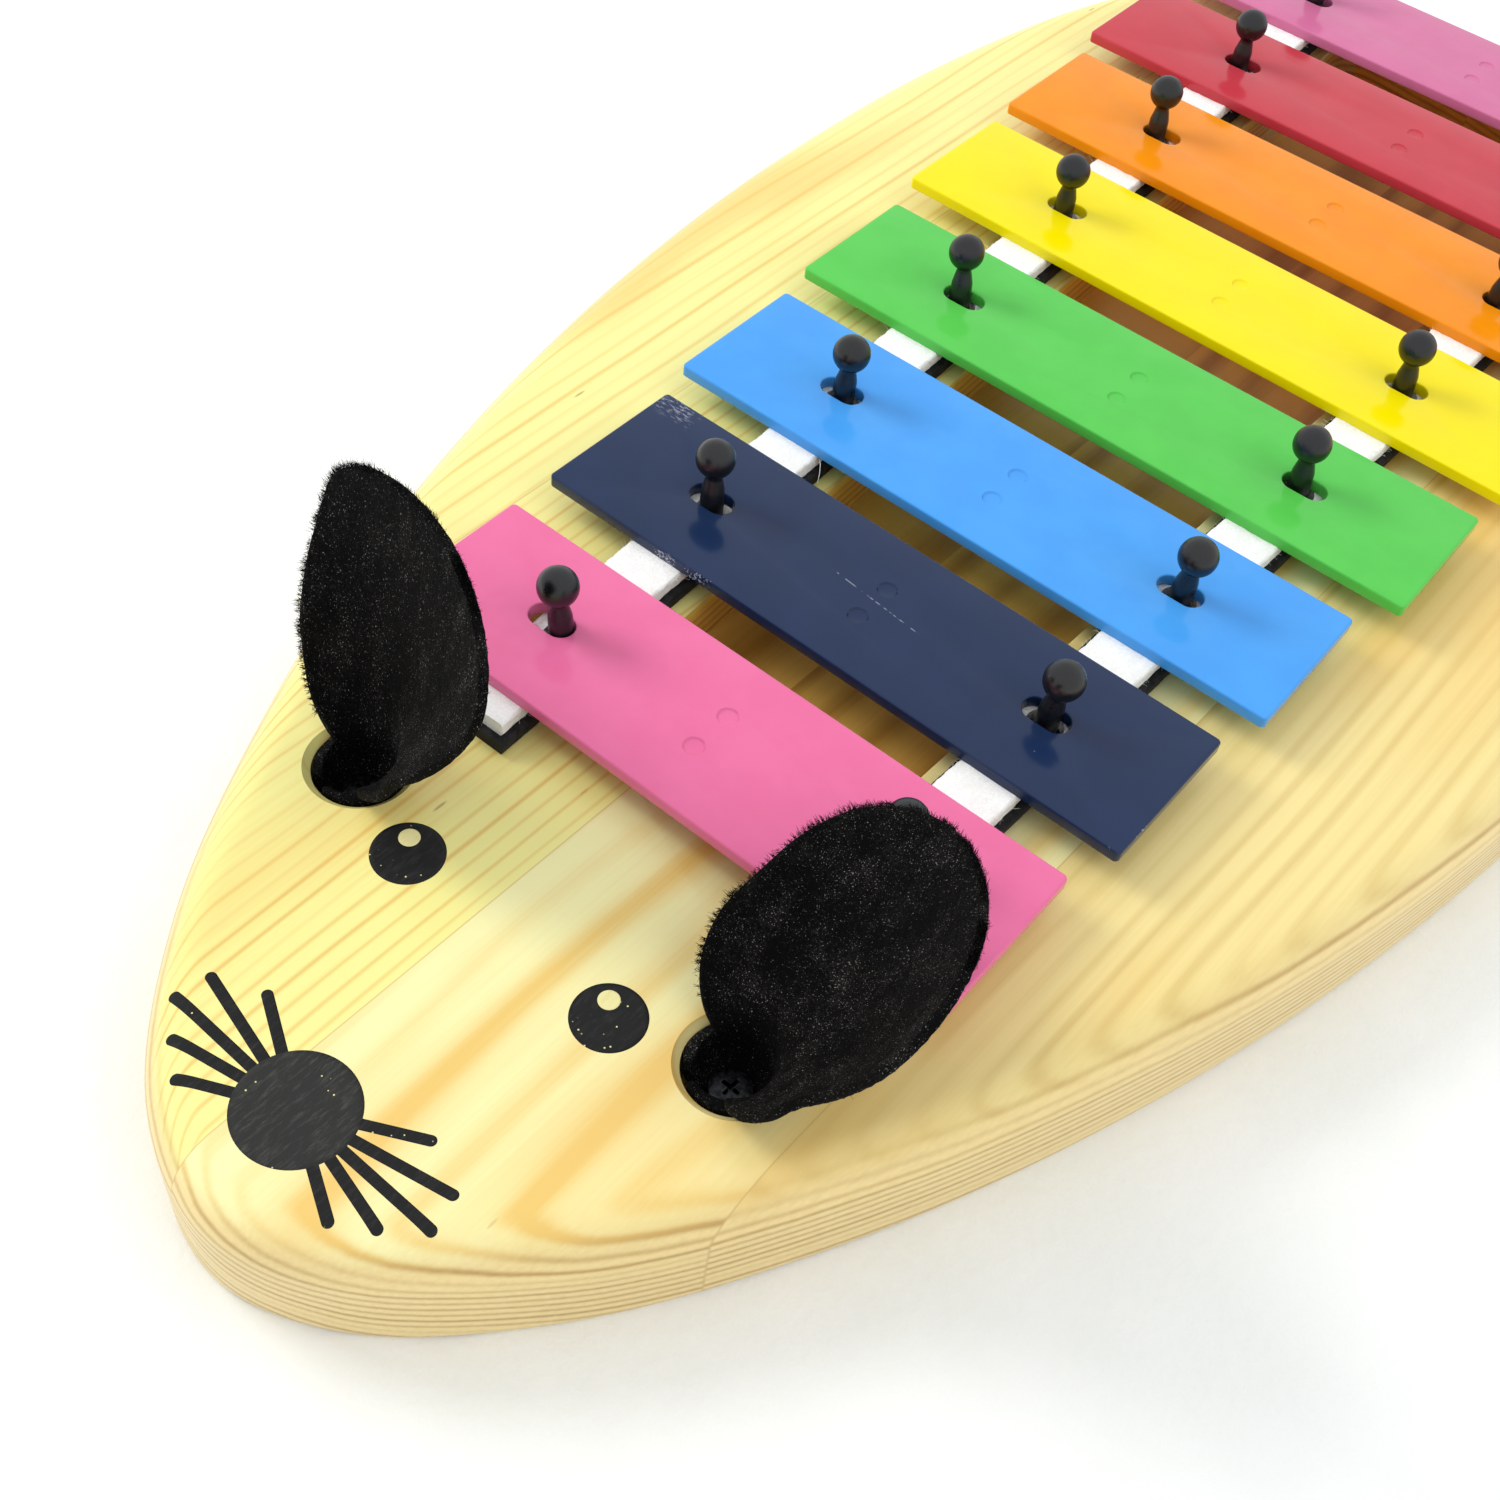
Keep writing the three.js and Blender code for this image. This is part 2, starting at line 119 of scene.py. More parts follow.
def joined(surfaces: Sequence[Surface]) -> Surface:
    """Several surfaces as one, each face's numbers moved on by the points before it.

    Args:
        surfaces: the surfaces.

    Returns:
        One surface that holds them all.
    """
    starts = np.cumsum([0] + [len(s.points) for s in surfaces[:-1]])
    faces = [group + start for s, start in zip(surfaces, starts) for group in s.faces]
    return Surface(np.vstack([s.points for s in surfaces]), faces)


def row_quads(rows: int, columns: int, closed: bool = True) -> Array:
    """Quads between the rows of a grid of points.

    Args:
        rows: number of rows.
        columns: points in a row.
        closed: whether a row's last point is joined to its first.

    Returns:
        Corner numbers, one face a row, turned outwards where rows run counter-clockwise about the way
        from the first row to the last.
    """
    step = np.arange(columns if closed else columns - 1)
    start = np.arange(rows - 1)[:, None] * columns
    a, b = start + step, start + (step + 1) % columns
    return np.stack([a, b, b + columns, a + columns], axis=-1).reshape(-1, 4)


def stacked(rings: Array) -> Surface:
    """A closed solid through rings of points, with a flat face over each end.

    Args:
        rings: array of ring, point and coordinate, the rings counter-clockwise about the way they go.

    Returns:
        The solid.
    """
    count, columns = rings.shape[:2]
    ends = [np.arange(columns)[::-1][None], (count - 1) * columns + np.arange(columns)[None]]
    return Surface(rings.reshape(-1, 3), [row_quads(count, columns), *ends])


def lathed(profile: Array, sides: int) -> Surface:
    """A profile turned about Z: each point is (r cos a, r sin a, h).

    Args:
        profile: rows of radius and height, bottom first; the first and the last row lie on the axis.
        sides: number of sides.

    Returns:
        A closed solid with one point at each pole.
    """
    angle = np.linspace(0, 2 * np.pi, sides, endpoint=False)
    radius, height = profile[1:-1, :1], profile[1:-1, 1:]
    body = np.stack([radius * np.cos(angle), radius * np.sin(angle), height + 0 * angle], axis=-1)
    poles = np.array([[0, 0, profile[0, 1]], [0, 0, profile[-1, 1]]])
    points = np.vstack([poles, body.reshape(-1, 3)])
    k = np.arange(sides)
    after, last = (k + 1) % sides, 2 + (len(body) - 1) * sides
    bottom = np.stack([0 * k, 2 + after, 2 + k], axis=-1)
    top = np.stack([last + k, last + after, 0 * k + 1], axis=-1)
    return Surface(points, [row_quads(len(body), sides) + 2, bottom, top])


def sheet_solid(front: Array, back: Array) -> Surface:
    """A closed sheet between two grids of points that face away from each other.

    Args:
        front: grid whose normal, across by up, points away from the back.
        back: grid of the same shape behind it.

    Returns:
        The closed sheet, with a rim round its four edges.
    """
    rows, columns = front.shape[:2]
    shift = rows * columns
    faces = row_quads(rows, columns, closed=False)
    number = np.arange(shift).reshape(rows, columns)
    border = np.concatenate([number[0, :-1], number[:-1, -1], number[-1, :0:-1], number[:0:-1, 0]])
    after = np.roll(border, -1)
    rim = np.stack([border, border + shift, after + shift, after], axis=-1)
    points = np.vstack([front.reshape(-1, 3), back.reshape(-1, 3)])
    return Surface(points, [faces, faces[:, ::-1] + shift, rim])


def hairs(roots: Array, ways: Array, curls: Array, radius: float) -> Surface:
    """Thin closed hairs: p(t) = root + way t + curl t t, each a tapering tube of three sides.

    Args:
        roots: where each hair starts.
        ways: each hair's direction times its length.
        curls: how far each hair's tip is bent aside.
        radius: radius at the root; the tip has a third of it.

    Returns:
        All the hairs as one surface.
    """
    t = np.linspace(0, 1, 4)
    line = roots[:, None] + ways[:, None] * t[:, None] + curls[:, None] * (t * t)[:, None]
    along = ways[:, None] + 2 * curls[:, None] * t[:, None]
    along /= np.linalg.norm(along, axis=-1, keepdims=True)
    aside = np.cross(along, np.array([0.36, 0.48, 0.8]))
    aside /= np.linalg.norm(aside, axis=-1, keepdims=True)
    other = np.cross(along, aside)
    angle = np.linspace(0, 2 * np.pi, 3, endpoint=False)
    size = (radius * (1 - 0.67 * t))[None, :, None, None]
    ring = np.cos(angle)[:, None] * aside[:, :, None] + np.sin(angle)[:, None] * other[:, :, None]
    points = line[:, :, None] + size * ring
    start = (np.arange(len(roots)) * 12)[:, None, None]
    quads = (row_quads(4, 3)[None] + start).reshape(-1, 4)
    ends = (np.array([[2, 1, 0], [9, 10, 11]])[None] + start).reshape(-1, 3)
    return Surface(points.reshape(-1, 3), [quads, ends])


def rounded_outline(half_x: float, half_y: float, radius: float, steps: int) -> Array:
    """A rectangle with round corners about the origin, counter-clockwise.

    Args:
        half_x: half its size along X.
        half_y: half its size along Y.
        radius: radius of its corners.
        steps: sides in each corner.

    Returns:
        Each corner's centre plus the radius times (cos a, sin a) over a quarter turn.
    """
    signs = np.array([[1, 1], [-1, 1], [-1, -1], [1, -1]])
    angle = (np.arange(4)[:, None] + np.linspace(0, 1, steps + 1)) * np.pi / 2
    centre = signs * np.array([half_x - radius, half_y - radius])
    arc = radius * np.stack([np.cos(angle), np.sin(angle)], axis=-1)
    return (centre[:, None] + arc).reshape(-1, 2)


def at_height(outline: Array, height: float) -> Array:
    """A flat outline as a ring of points at a height."""
    return np.column_stack([outline, np.full(len(outline), height)])


def drawn_in(outline: Array, inset: float) -> Array:
    """A counter-clockwise outline moved along its normals.

    Args:
        outline: its flat points.
        inset: how far they move inwards.

    Returns:
        The moved points.
    """
    along = np.roll(outline, -1, axis=0) - np.roll(outline, 1, axis=0)
    along /= np.linalg.norm(along, axis=1, keepdims=True)
    return outline + inset * np.column_stack([-along[:, 1], along[:, 0]])


def edge_rings(outline: Array, height: float, radius: float, steps: int, foot: bool = False,
               way: int = 1) -> list[Array]:
    """Rings over a rounded edge: drawn in by radius (1 - cos a), at radius (1 - sin a) from its height.

    Args:
        outline: the outline where the edge is widest, or narrowest where it is drawn out.
        height: height of the face that the edge ends in.
        radius: radius of the edge.
        steps: rings less one.
        foot: whether the face is the lower one, so that the rings start there and go up.
        way: 1 where the rings are drawn in, -1 where they are drawn out.

    Returns:
        The rings, from below.
    """
    angle = np.linspace(0, np.pi / 2, steps + 1)
    inset, drop = way * radius * (1 - np.cos(angle)), radius * (1 - np.sin(angle))
    if foot:
        inset, drop = inset[::-1], -drop[::-1]
    return [at_height(drawn_in(outline, a), height - b) for a, b in zip(inset, drop)]


def turn_about_z(degrees: float) -> Array:
    """The 3 by 3 matrix of a turn about +Z: (cos a, -sin a), (sin a, cos a) across it."""
    cos, sin = math.cos(math.radians(degrees)), math.sin(math.radians(degrees))
    return np.array([[cos, -sin, 0], [sin, cos, 0], [0, 0, 1]])


def toward(direction: Array) -> Array:
    """The turn that takes +Z to a direction by the shortest way.

    Args:
        direction: where +Z goes.

    Returns:
        The 3 by 3 matrix 1 + K + K K / (1 + z), with K the cross product with +Z times the direction.
    """
    end = direction / np.linalg.norm(direction)
    axis = np.cross([0.0, 0.0, 1.0], end)
    skew = np.array([[0, -axis[2], axis[1]], [axis[2], 0, -axis[0]], [-axis[1], axis[0], 0]])
    return np.eye(3) + skew + skew @ skew / (1 + end[2])


def turned(points: Array, axis: Array, angle: Array) -> Array:
    """Points turned about an axis through the origin.

    Args:
        points: the points.
        axis: the axis, of length 1.
        angle: one angle, or one for each point, in radians.

    Returns:
        p cos a + (n x p) sin a + n (n . p)(1 - cos a).
    """
    cos, sin = np.cos(angle)[..., None], np.sin(angle)[..., None]
    inner = (points @ axis)[..., None]
    return points * cos + np.cross(axis, points) * sin + axis * inner * (1 - cos)


def smooth_between(value: Array, low: float, high: float) -> Array:
    """The smooth step 3 t t - 2 t t t, where t goes from 0 at low to 1 at high."""
    t = np.clip((value - low) / (high - low), 0, 1)
    return t * t * (3 - 2 * t)


def lattice_noise(points: Array, cell: float, seed: int) -> Array:
    """Smooth noise from -1 to 1: random numbers at the corners of a lattice, blended within each cell.

    Args:
        points: places in millimetres, one a row.
        cell: the lattice's spacing.
        seed: seed of the random numbers.

    Returns:
        One number for each point.
    """
    size = 32
    corner = np.random.default_rng(seed).uniform(-1, 1, (size, size, size))
    low = np.floor(points / cell).astype(int)
    t = points / cell - low
    t = t * t * (3 - 2 * t)
    total = np.zeros(len(points))
    for offset in np.ndindex(2, 2, 2):
        weight = np.prod(np.where(offset, t, 1 - t), axis=1)
        i, j, k = ((low + offset) % size).T
        total += weight * corner[i, j, k]
    return total


# Pieces


def new_piece(name: str, surface: Surface, smooth_angle: float = SMOOTH_ANGLE) -> Piece:
    """Makes an object of a surface.

    Args:
        name: the piece's name.
        surface: its shape in millimetres.
        smooth_angle: edges sharper than this, in degrees, stay sharp.

    Returns:
        The object, at the origin, with its place in its mesh.
    """
    mesh = bpy.data.meshes.new(name)
    corners = np.concatenate([group.ravel() for group in surface.faces]).astype(np.int32)
    sizes = np.concatenate([np.full(len(group), group.shape[1]) for group in surface.faces])
    mesh.vertices.add(len(surface.points))
    mesh.vertices.foreach_set("co", (surface.points * MM).astype(np.float32).ravel())
    mesh.loops.add(len(corners))
    mesh.loops.foreach_set("vertex_index", corners)
    mesh.polygons.add(len(sizes))
    mesh.polygons.foreach_set("loop_start", (np.cumsum(sizes) - sizes).astype(np.int32))
    mesh.update(calc_edges=True)
    mesh.validate()
    piece = bpy.data.objects.new(name, mesh)
    bpy.context.scene.collection.objects.link(piece)
    smooth(piece, smooth_angle)
    return piece


def smooth(piece: Piece, angle: float) -> None:
    """Shades a piece smooth, with edges sharper than the angle, in degrees, left sharp."""
    piece.data.polygons.foreach_set("use_smooth", np.ones(len(piece.data.polygons), bool))
    piece.data.set_sharp_from_angle(angle=math.radians(angle))


def carve(piece: Piece, cutters: Sequence[Surface], smooth_angle: float = SMOOTH_ANGLE) -> None:
    """Cuts closed surfaces out of a piece.

    Args:
        piece: the piece.
        cutters: the surfaces, clear of each other.
        smooth_angle: edges sharper than this, in degrees, stay sharp.
    """
    tool = new_piece(f"{piece.name}_cutter", joined(cutters))
    modifier = piece.modifiers.new("carve", "BOOLEAN")
    modifier.operation, modifier.solver, modifier.object = "DIFFERENCE", "EXACT", tool
    bpy.context.view_layer.update()
    graph = bpy.context.evaluated_depsgraph_get()
    carved = bpy.data.meshes.new_from_object(piece.evaluated_get(graph))
    piece.modifiers.clear()
    old, piece.data = piece.data, carved
    carved.name = piece.name
    bpy.data.meshes.remove(old)
    bpy.data.meshes.remove(tool.data)
    smooth(piece, smooth_angle)


def merged(piece: Piece, distance: float) -> None:
    """Merges a piece's points that lie together, as at a pole.

    Args:
        piece: the piece.
        distance: points closer than this, in millimetres, become one.
    """
    shape = bmesh.new()
    shape.from_mesh(piece.data)
    bmesh.ops.remove_doubles(shape, verts=shape.verts, dist=distance * MM)
    bmesh.ops.recalc_face_normals(shape, faces=shape.faces)
    shape.to_mesh(piece.data)
    shape.free()
    smooth(piece, SMOOTH_ANGLE)


def outfit(piece: Piece, material: bpy.types.Material, body: str | None, slot: str | None,
           *nodes: str) -> None:
    """Gives a piece its material, hangs it on its body, hides the nodes that it stands for, and reports it.

    Args:
        piece: the piece.
        material: its one material.
        body: the body that it rides on, or None where it is left on no body.
        slot: its material slot in the record, or None where the record has none for it; not used.
        nodes: the nodes that it stands for.
    """
    piece.data.materials.clear()
    piece.data.materials.append(material)
    if body:
        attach(piece, body)
    if nodes:
        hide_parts(*nodes)
    log.info("%s: %d faces, stands for %s", piece.name, len(piece.data.polygons), nodes or "no node")


# Finishes


def linear(colour: Colour) -> tuple[float, float, float, float]:
    """A colour as a shader takes it.

    Args:
        colour: red, green and blue in 0 to 255.

    Returns:
        Its linear values and an alpha of 1.
    """
    share = np.array(colour) / 255
    value = np.where(share <= 0.04045, share / 12.92, ((share + 0.055) / 1.055) ** 2.4)
    return (*map(float, value), 1.0)


class Graph:
    """A material's nodes, written as calls that each take and give sockets or plain numbers."""

    def __init__(self, name: str, **shader: float | tuple) -> None:
        """Starts a material.

        Args:
            name: the material's name.
            shader: values for the shader's inputs, named with underscores.
        """
        self.material = bpy.data.materials.new(name)
        self.material.use_nodes = True
        self.nodes = self.material.node_tree.nodes
        self.links = self.material.node_tree.links
        self.nodes.clear()
        self.shader = self.nodes.new("ShaderNodeBsdfPrincipled")
        output = self.nodes.new("ShaderNodeOutputMaterial")
        self.links.new(self.shader.outputs[0], output.inputs["Surface"])
        self.shade(**shader)

    def feed(self, socket: Socket, value: Socket | float | tuple) -> None:
        """Gives a socket its value.

        Args:
            socket: the socket.
            value: another socket to link it to, or a plain value.
        """
        if isinstance(value, bpy.types.NodeSocket):
            self.links.new(value, socket)
        else:
            socket.default_value = value

    def shade(self, **inputs: Socket | float | tuple) -> None:
        """Gives the shader's inputs, named with underscores, their values."""
        for key, value in inputs.items():
            self.feed(self.shader.inputs[key.replace("_", " ").title().replace("Ior", "IOR")], value)

    def node(self, kind: str, inputs: dict, **settings: str | bool) -> bpy.types.Node:
        """Makes a node.

        Args:
            kind: its type, without the first words that all shader nodes share.
            inputs: sockets or plain values for its inputs, by number or name.
            settings: its properties.

        Returns:
            The node.
        """
        node = self.nodes.new(f"ShaderNode{kind}")
        for key, value in settings.items():
            setattr(node, key, value)
        for key, value in inputs.items():
            self.feed(node.inputs[key], value)
        return node

    def math(self, operation: str, *values: Socket | float, clamp: bool = False) -> Socket:
        """One step of arithmetic."""
        return self.node("Math", dict(enumerate(values)), operation=operation, use_clamp=clamp).outputs[0]

    def product(self, first: Socket, second: Socket | float) -> Socket:
        """Two values multiplied."""
        return self.math("MULTIPLY", first, second)

    def sway(self, value: Socket, noise: Socket, size: float, clamp: bool = False) -> Socket:
        """A value plus a size times how far a noise is above one half."""
        return self.math("MULTIPLY_ADD", self.math("SUBTRACT", noise, 0.5), size, value, clamp=clamp)

    def scaled(self, vector: Socket, factors: Sequence[float]) -> Socket:
        """A vector times a factor for each axis."""
        return self.node("VectorMath", {0: vector, 1: tuple(factors)}, operation="MULTIPLY").outputs[0]

    def place(self) -> Socket:
        """The place on the object in millimetres, in the model's frame."""
        return self.scaled(self.node("TexCoord", {}).outputs["Object"], (1 / MM,) * 3)

    def parts(self, vector: Socket) -> tuple[Socket, ...]:
        """A vector's X, Y and Z."""
        return tuple(self.node("SeparateXYZ", {0: vector}).outputs)

    def noise(self, place: Socket, factors: Sequence[float], detail: float = 3,
              rough: float = 0.55) -> Socket:
        """Cloudy noise about one half, at a place times a factor for each axis."""
        inputs = {"Vector": self.scaled(place, factors), "Scale": 1, "Detail": detail, "Roughness": rough}
        return self.node("TexNoise", inputs).outputs["Fac"]

    def cells(self, place: Socket, factors: Sequence[float]) -> tuple[Socket, Socket]:
        """Distance to the nearest of scattered points, and that point's random number."""
        node = self.node("TexVoronoi", {"Vector": self.scaled(place, factors), "Scale": 1})
        return node.outputs["Distance"], self.parts(node.outputs["Color"])[0]

    def chance(self, value: Socket) -> Socket:
        """A random number for each whole number."""
        return self.node("TexWhiteNoise", {"W": value}, noise_dimensions="1D").outputs["Value"]

    def between(self, value: Socket, low: float, high: float, start: float = 0.0,
                end: float = 1.0) -> Socket:
        """A value's smooth way from start, at low, to end, at high."""
        inputs = dict(enumerate((value, low, high, start, end)))
        return self.node("MapRange", inputs, interpolation_type="SMOOTHSTEP").outputs[0]

    def ramp(self, value: Socket, stops: Sequence[tuple]) -> Socket:
        """One colour for each stretch of a value.

        Args:
            value: from 0 to 1.
            stops: linear colours, for stretches of the same length.

        Returns:
            The stretch's colour, unblended.
        """
        node = self.node("ValToRGB", {0: value})
        ramp = node.color_ramp
        ramp.interpolation = "CONSTANT"
        while len(ramp.elements) < len(stops):
            ramp.elements.new(1.0)
        for number, (element, colour) in enumerate(zip(ramp.elements, stops)):
            element.position, element.color = number / len(stops), colour
        return node.outputs[0]

    def mix(self, share: Socket | float, first: Socket | tuple, second: Socket | tuple,
            blend: str = "MIX") -> Socket:
        """Two colours mixed by a share of the second."""
        inputs = {0: share, 6: first, 7: second}
        return self.node("Mix", inputs, data_type="RGBA", blend_type=blend).outputs[2]

    def tone(self, value: Socket, low: float, high: float, dark: Colour, light: Colour) -> Socket:
        """A colour that goes from dark, where a value is low, to light, where it is high."""
        return self.mix(self.between(value, low, high), linear(dark), linear(light))

    def bump(self, height: Socket, depth: float) -> None:
        """Raises the surface by a height of 0 to 1 times a depth in millimetres."""
        node = self.node("Bump", {"Strength": 1, "Distance": depth * MM, "Height": height})
        self.shade(normal=node.outputs[0])


@dataclass(frozen=True)
class Pine:
    """Varnished pine glued up from staves: lines along each stave above, layers of growth on the sides."""

    name: str = "pine"
    early: tuple = ((237, 229, 146), (237, 228, 142), (239, 232, 168), (234, 213, 141))
    late: tuple = ((224, 190, 98), (222, 186, 94), (228, 192, 104), (206, 176, 100))
    amber: Colour = (230, 188, 102)
    side_early: Colour = (234, 209, 144)
    side_late: Colour = (186, 151, 84)
    glue: Colour = (198, 168, 100)
    resin: Colour = (150, 104, 50)
    # Painted shade and warm bounced light in the hollow under the bars: a tint that multiplies the wood's
    # colour there
    shade: tuple = (1.15, 0.90, 0.42, 1.0)
    stave_width: float = 46.5
    joint_at: float = -5.2
    # For each stave from the left: its lines' spacing in centimetres, their sharpness in tens and strength
    lines: tuple = ((0.26, 0.50, 0.8), (0.24, 0.60, 0.9), (0.90, 0.20, 1.0), (0.31, 0.22, 0.7))
    layer: float = 1.55
    side_top: float = 15.0
    upper_side: float = 17.5
    hollow_middle: tuple = (-1.5, 30.0)
    hollow_reach: tuple = (27.0, 125.0)

    def waves(self, g: Graph, phase: Socket, sharpness: Socket | float) -> Socket:
        """Lines across a phase.

        Args:
            g: the material's graph.
            phase: rises by 1 from line to line.
            sharpness: the higher, the narrower the lines.

        Returns:
            (0.5 + 0.5 cos 2 pi phase) ^ sharpness, times a strength of each line's own.
        """
        wave = g.math("MULTIPLY_ADD", g.math("COSINE", g.product(phase, 2 * math.pi)), 0.5, 0.5)
        own = g.between(g.chance(g.math("ROUND", phase)), 0, 1, 0.25, 1)
        return g.product(g.math("POWER", wave, sharpness), own)

    def material(self) -> bpy.types.Material:
        """Builds the material.

        Returns:
            Lines at phase = x / spacing + z / layer, bent by noise; on the sides of the staves with fine
            lines the first term counts a tenth.
        """
        g = Graph(self.name, coat_weight=0.3, coat_roughness=0.2, coat_ior=1.5)
        place = g.place()
        x, y, z = g.parts(place)
        # Which stave, and how far across it
        stave = g.math("DIVIDE", g.math("SUBTRACT", x, self.joint_at), self.stave_width)
        number = g.math("FLOOR", stave)
        part = g.math("SUBTRACT", stave, number)
        count = len(self.lines)
        spot = g.math("DIVIDE", g.math("ADD", number, count / 2 + 0.5), count)
        spacing, sharp, strength = g.parts(g.ramp(spot, [(*line, 1.0) for line in self.lines]))
        # Noises: slow bends, small bends, fine streaks along the stave and broad blotches
        bend = g.noise(place, (1 / 60, 1 / 200, 1 / 60), detail=2)
        drift = g.noise(place, (1 / 12, 1 / 90, 1 / 12), detail=3)
        streak = g.noise(place, (1.9, 0.03, 1.9), detail=4, rough=0.6)
        blotch = g.noise(place, (1 / 30, 1 / 120, 1 / 30), detail=2)
        # The upper side
        course = g.math("DIVIDE", x, g.product(spacing, 10))
        level = g.sway(g.sway(g.math("DIVIDE", z, self.layer), bend, 4), drift, 0.6)
        line = self.waves(g, g.math("ADD", course, level), g.product(sharp, 10))
        line = g.sway(g.sway(g.product(line, strength), streak, 0.5), blotch, 1.0, clamp=True)
        early, late = (g.ramp(spot, [linear(c) for c in colours]) for colours in (self.early, self.late))
        above = g.mix(line, early, late)
        above = g.mix(g.between(blotch, 0.54, 0.72, 0, 0.6), above, linear(self.amber))
        away, random = g.cells(place, (1 / 2.2, 1 / 12, 1 / 2.2))
        dash = g.product(g.between(away, 0.05, 0.12, 1, 0), g.between(random, 0.93, 0.95))
        dash = g.product(dash, g.between(sharp, 0.2, 0.5, 0.25, 0.6))
        above = g.mix(dash, above, linear(self.resin))
        # The sides, and the glue between the staves
        phase = g.math("MULTIPLY_ADD", course, g.between(spacing, 0.4, 0.6, 0.1, 1), level)
        layers = g.sway(g.sway(self.waves(g, phase, 2.0), streak, 0.5), blotch, 0.6, clamp=True)
        below = g.mix(layers, linear(self.side_early), linear(self.side_late))
        colour = g.mix(g.between(z, self.side_top, self.upper_side), below, above)
        edge = g.product(g.math("MINIMUM", part, g.math("SUBTRACT", 1, part)), self.stave_width)
        colour = g.mix(g.between(edge, 0.05, 0.14, 0.55, 0), colour, linear(self.glue))
        # Painted shade and warm bounced light in the hollow under the bars: the wood's colour there is
        # multiplied by an amber tint
        for value, middle, reach in zip((x, y), self.hollow_middle, self.hollow_reach):
            off = g.math("ABSOLUTE", g.math("SUBTRACT", value, middle))
            z = g.math("MAXIMUM", z, g.between(off, reach, reach + 1, 0, 18))
        colour = g.mix(g.between(z, 17.2, 17.7, 1, 0), colour, self.shade, "MULTIPLY")
        g.shade(base_color=colour, roughness=g.between(streak, 0.3, 0.7, 0.38, 0.5))
        g.bump(g.math("MULTIPLY_ADD", line, 0.4, g.product(streak, 0.8)), 0.015)
        return g.material


@dataclass(frozen=True)
class Enamel:
    """Gloss enamel on a bar: a faint orange peel, dust, and chips along the bar's edges."""

    name: str
    colour: Colour
    middle: tuple[float, float]
    turn: float
    half_length: float
    half_width: float
    chipping: float
    scuffed: bool
    primer: Colour = (168, 170, 182)

    def material(self) -> bpy.types.Material:
        """Builds the material.

        Returns:
            Paint whose chips lie where the distance to the bar's edge is small and a noise is high.
        """
        g = Graph(self.name, specular_ior_level=0.32)
        place = g.place()
        x, y, _ = g.parts(place)
        x, y = g.math("SUBTRACT", x, self.middle[0]), g.math("SUBTRACT", y, self.middle[1])
        cos, sin = math.cos(math.radians(self.turn)), math.sin(math.radians(self.turn))
        along = g.math("MULTIPLY_ADD", x, cos, g.product(y, sin))
        across = g.math("MULTIPLY_ADD", y, cos, g.product(x, -sin))
        edge = g.math("MINIMUM", g.math("SUBTRACT", self.half_width, g.math("ABSOLUTE", across)),
                      g.math("SUBTRACT", self.half_length, g.math("ABSOLUTE", along)))
        cloud = g.noise(place, (0.12, 0.12, 0.12), detail=3)
        speck = g.noise(place, (2.6, 2.6, 2.6), detail=4, rough=0.65)
        worn = g.product(g.between(edge, 0.0, 0.6, 1, 0), g.between(cloud, 0.48, 0.66))
        chip = g.between(g.math("MULTIPLY_ADD", worn, self.chipping, speck), 0.86, 0.89)
        dust, random = g.cells(place, (0.16, 0.16, 0.16))
        mote = g.product(g.between(dust, 0.010, 0.018, 0.4, 0), g.between(random, 0.75, 0.8))
        marks = g.math("MAXIMUM", chip, mote)
        if self.scuffed:
            line = g.math("MULTIPLY_ADD", along, 0.09, g.math("SUBTRACT", across, 0.4))
            near = g.between(g.math("ABSOLUTE", line), 0.04, 0.11, 1, 0)
            reach = g.between(g.math("ABSOLUTE", along), 6.5, 8.5, 1, 0)
            broken = g.between(g.noise(place, (1.3, 1.3, 1.3), detail=2), 0.47, 0.6, 0, 0.6)
            marks = g.math("MAXIMUM", marks, g.product(g.product(near, reach), broken))
            corner = g.math("ADD", along, self.half_length - 3)
            corner = g.math("MAXIMUM", g.math("ABSOLUTE", corner),
                            g.math("SUBTRACT", self.half_width, across))
            streaks = g.noise(place, (0.8, 2.8, 0.8), detail=4, rough=0.7)
            rub = g.product(g.between(corner, 2.0, 5.0, 1, 0), g.between(streaks, 0.52, 0.6, 0, 0.5))
            marks = g.math("MAXIMUM", marks, rub)
        tone = g.mix(g.between(cloud, 0.35, 0.65, 0, 0.1), linear(self.colour), (1, 1, 1, 1), "SOFT_LIGHT")
        g.shade(base_color=g.mix(marks, tone, linear(self.primer)))
        g.shade(roughness=g.math("MULTIPLY_ADD", marks, 0.3, g.between(cloud, 0.3, 0.7, 0.14, 0.16)))
        peel = g.noise(place, (0.45, 0.45, 0.45), detail=2)
        g.bump(g.math("SUBTRACT", peel, g.product(chip, 1.2)), 0.008)
        return g.material


@dataclass(frozen=True)
class Felt:
    """White wool felt: matted fibres with a soft sheen and a little dust."""

    name: str = "felt"
    light: Colour = (255, 255, 252)
    dark: Colour = (244, 243, 238)

    def material(self) -> bpy.types.Material:
        """Builds the material.

        Returns:
            The material.
        """
        g = Graph(self.name, roughness=1.0, sheen_weight=0.35, sheen_roughness=0.5)
        place = g.place()
        mat = g.noise(place, (2.2, 2.2, 2.2), detail=5, rough=0.7)
        cloud = g.noise(place, (0.3, 0.3, 0.3), detail=2)
        tone = g.math("MULTIPLY_ADD", cloud, 0.4, g.product(mat, 0.6))
        g.shade(base_color=g.tone(tone, 0.4, 0.62, self.dark, self.light))
        g.bump(mat, 0.25)
        return g.material


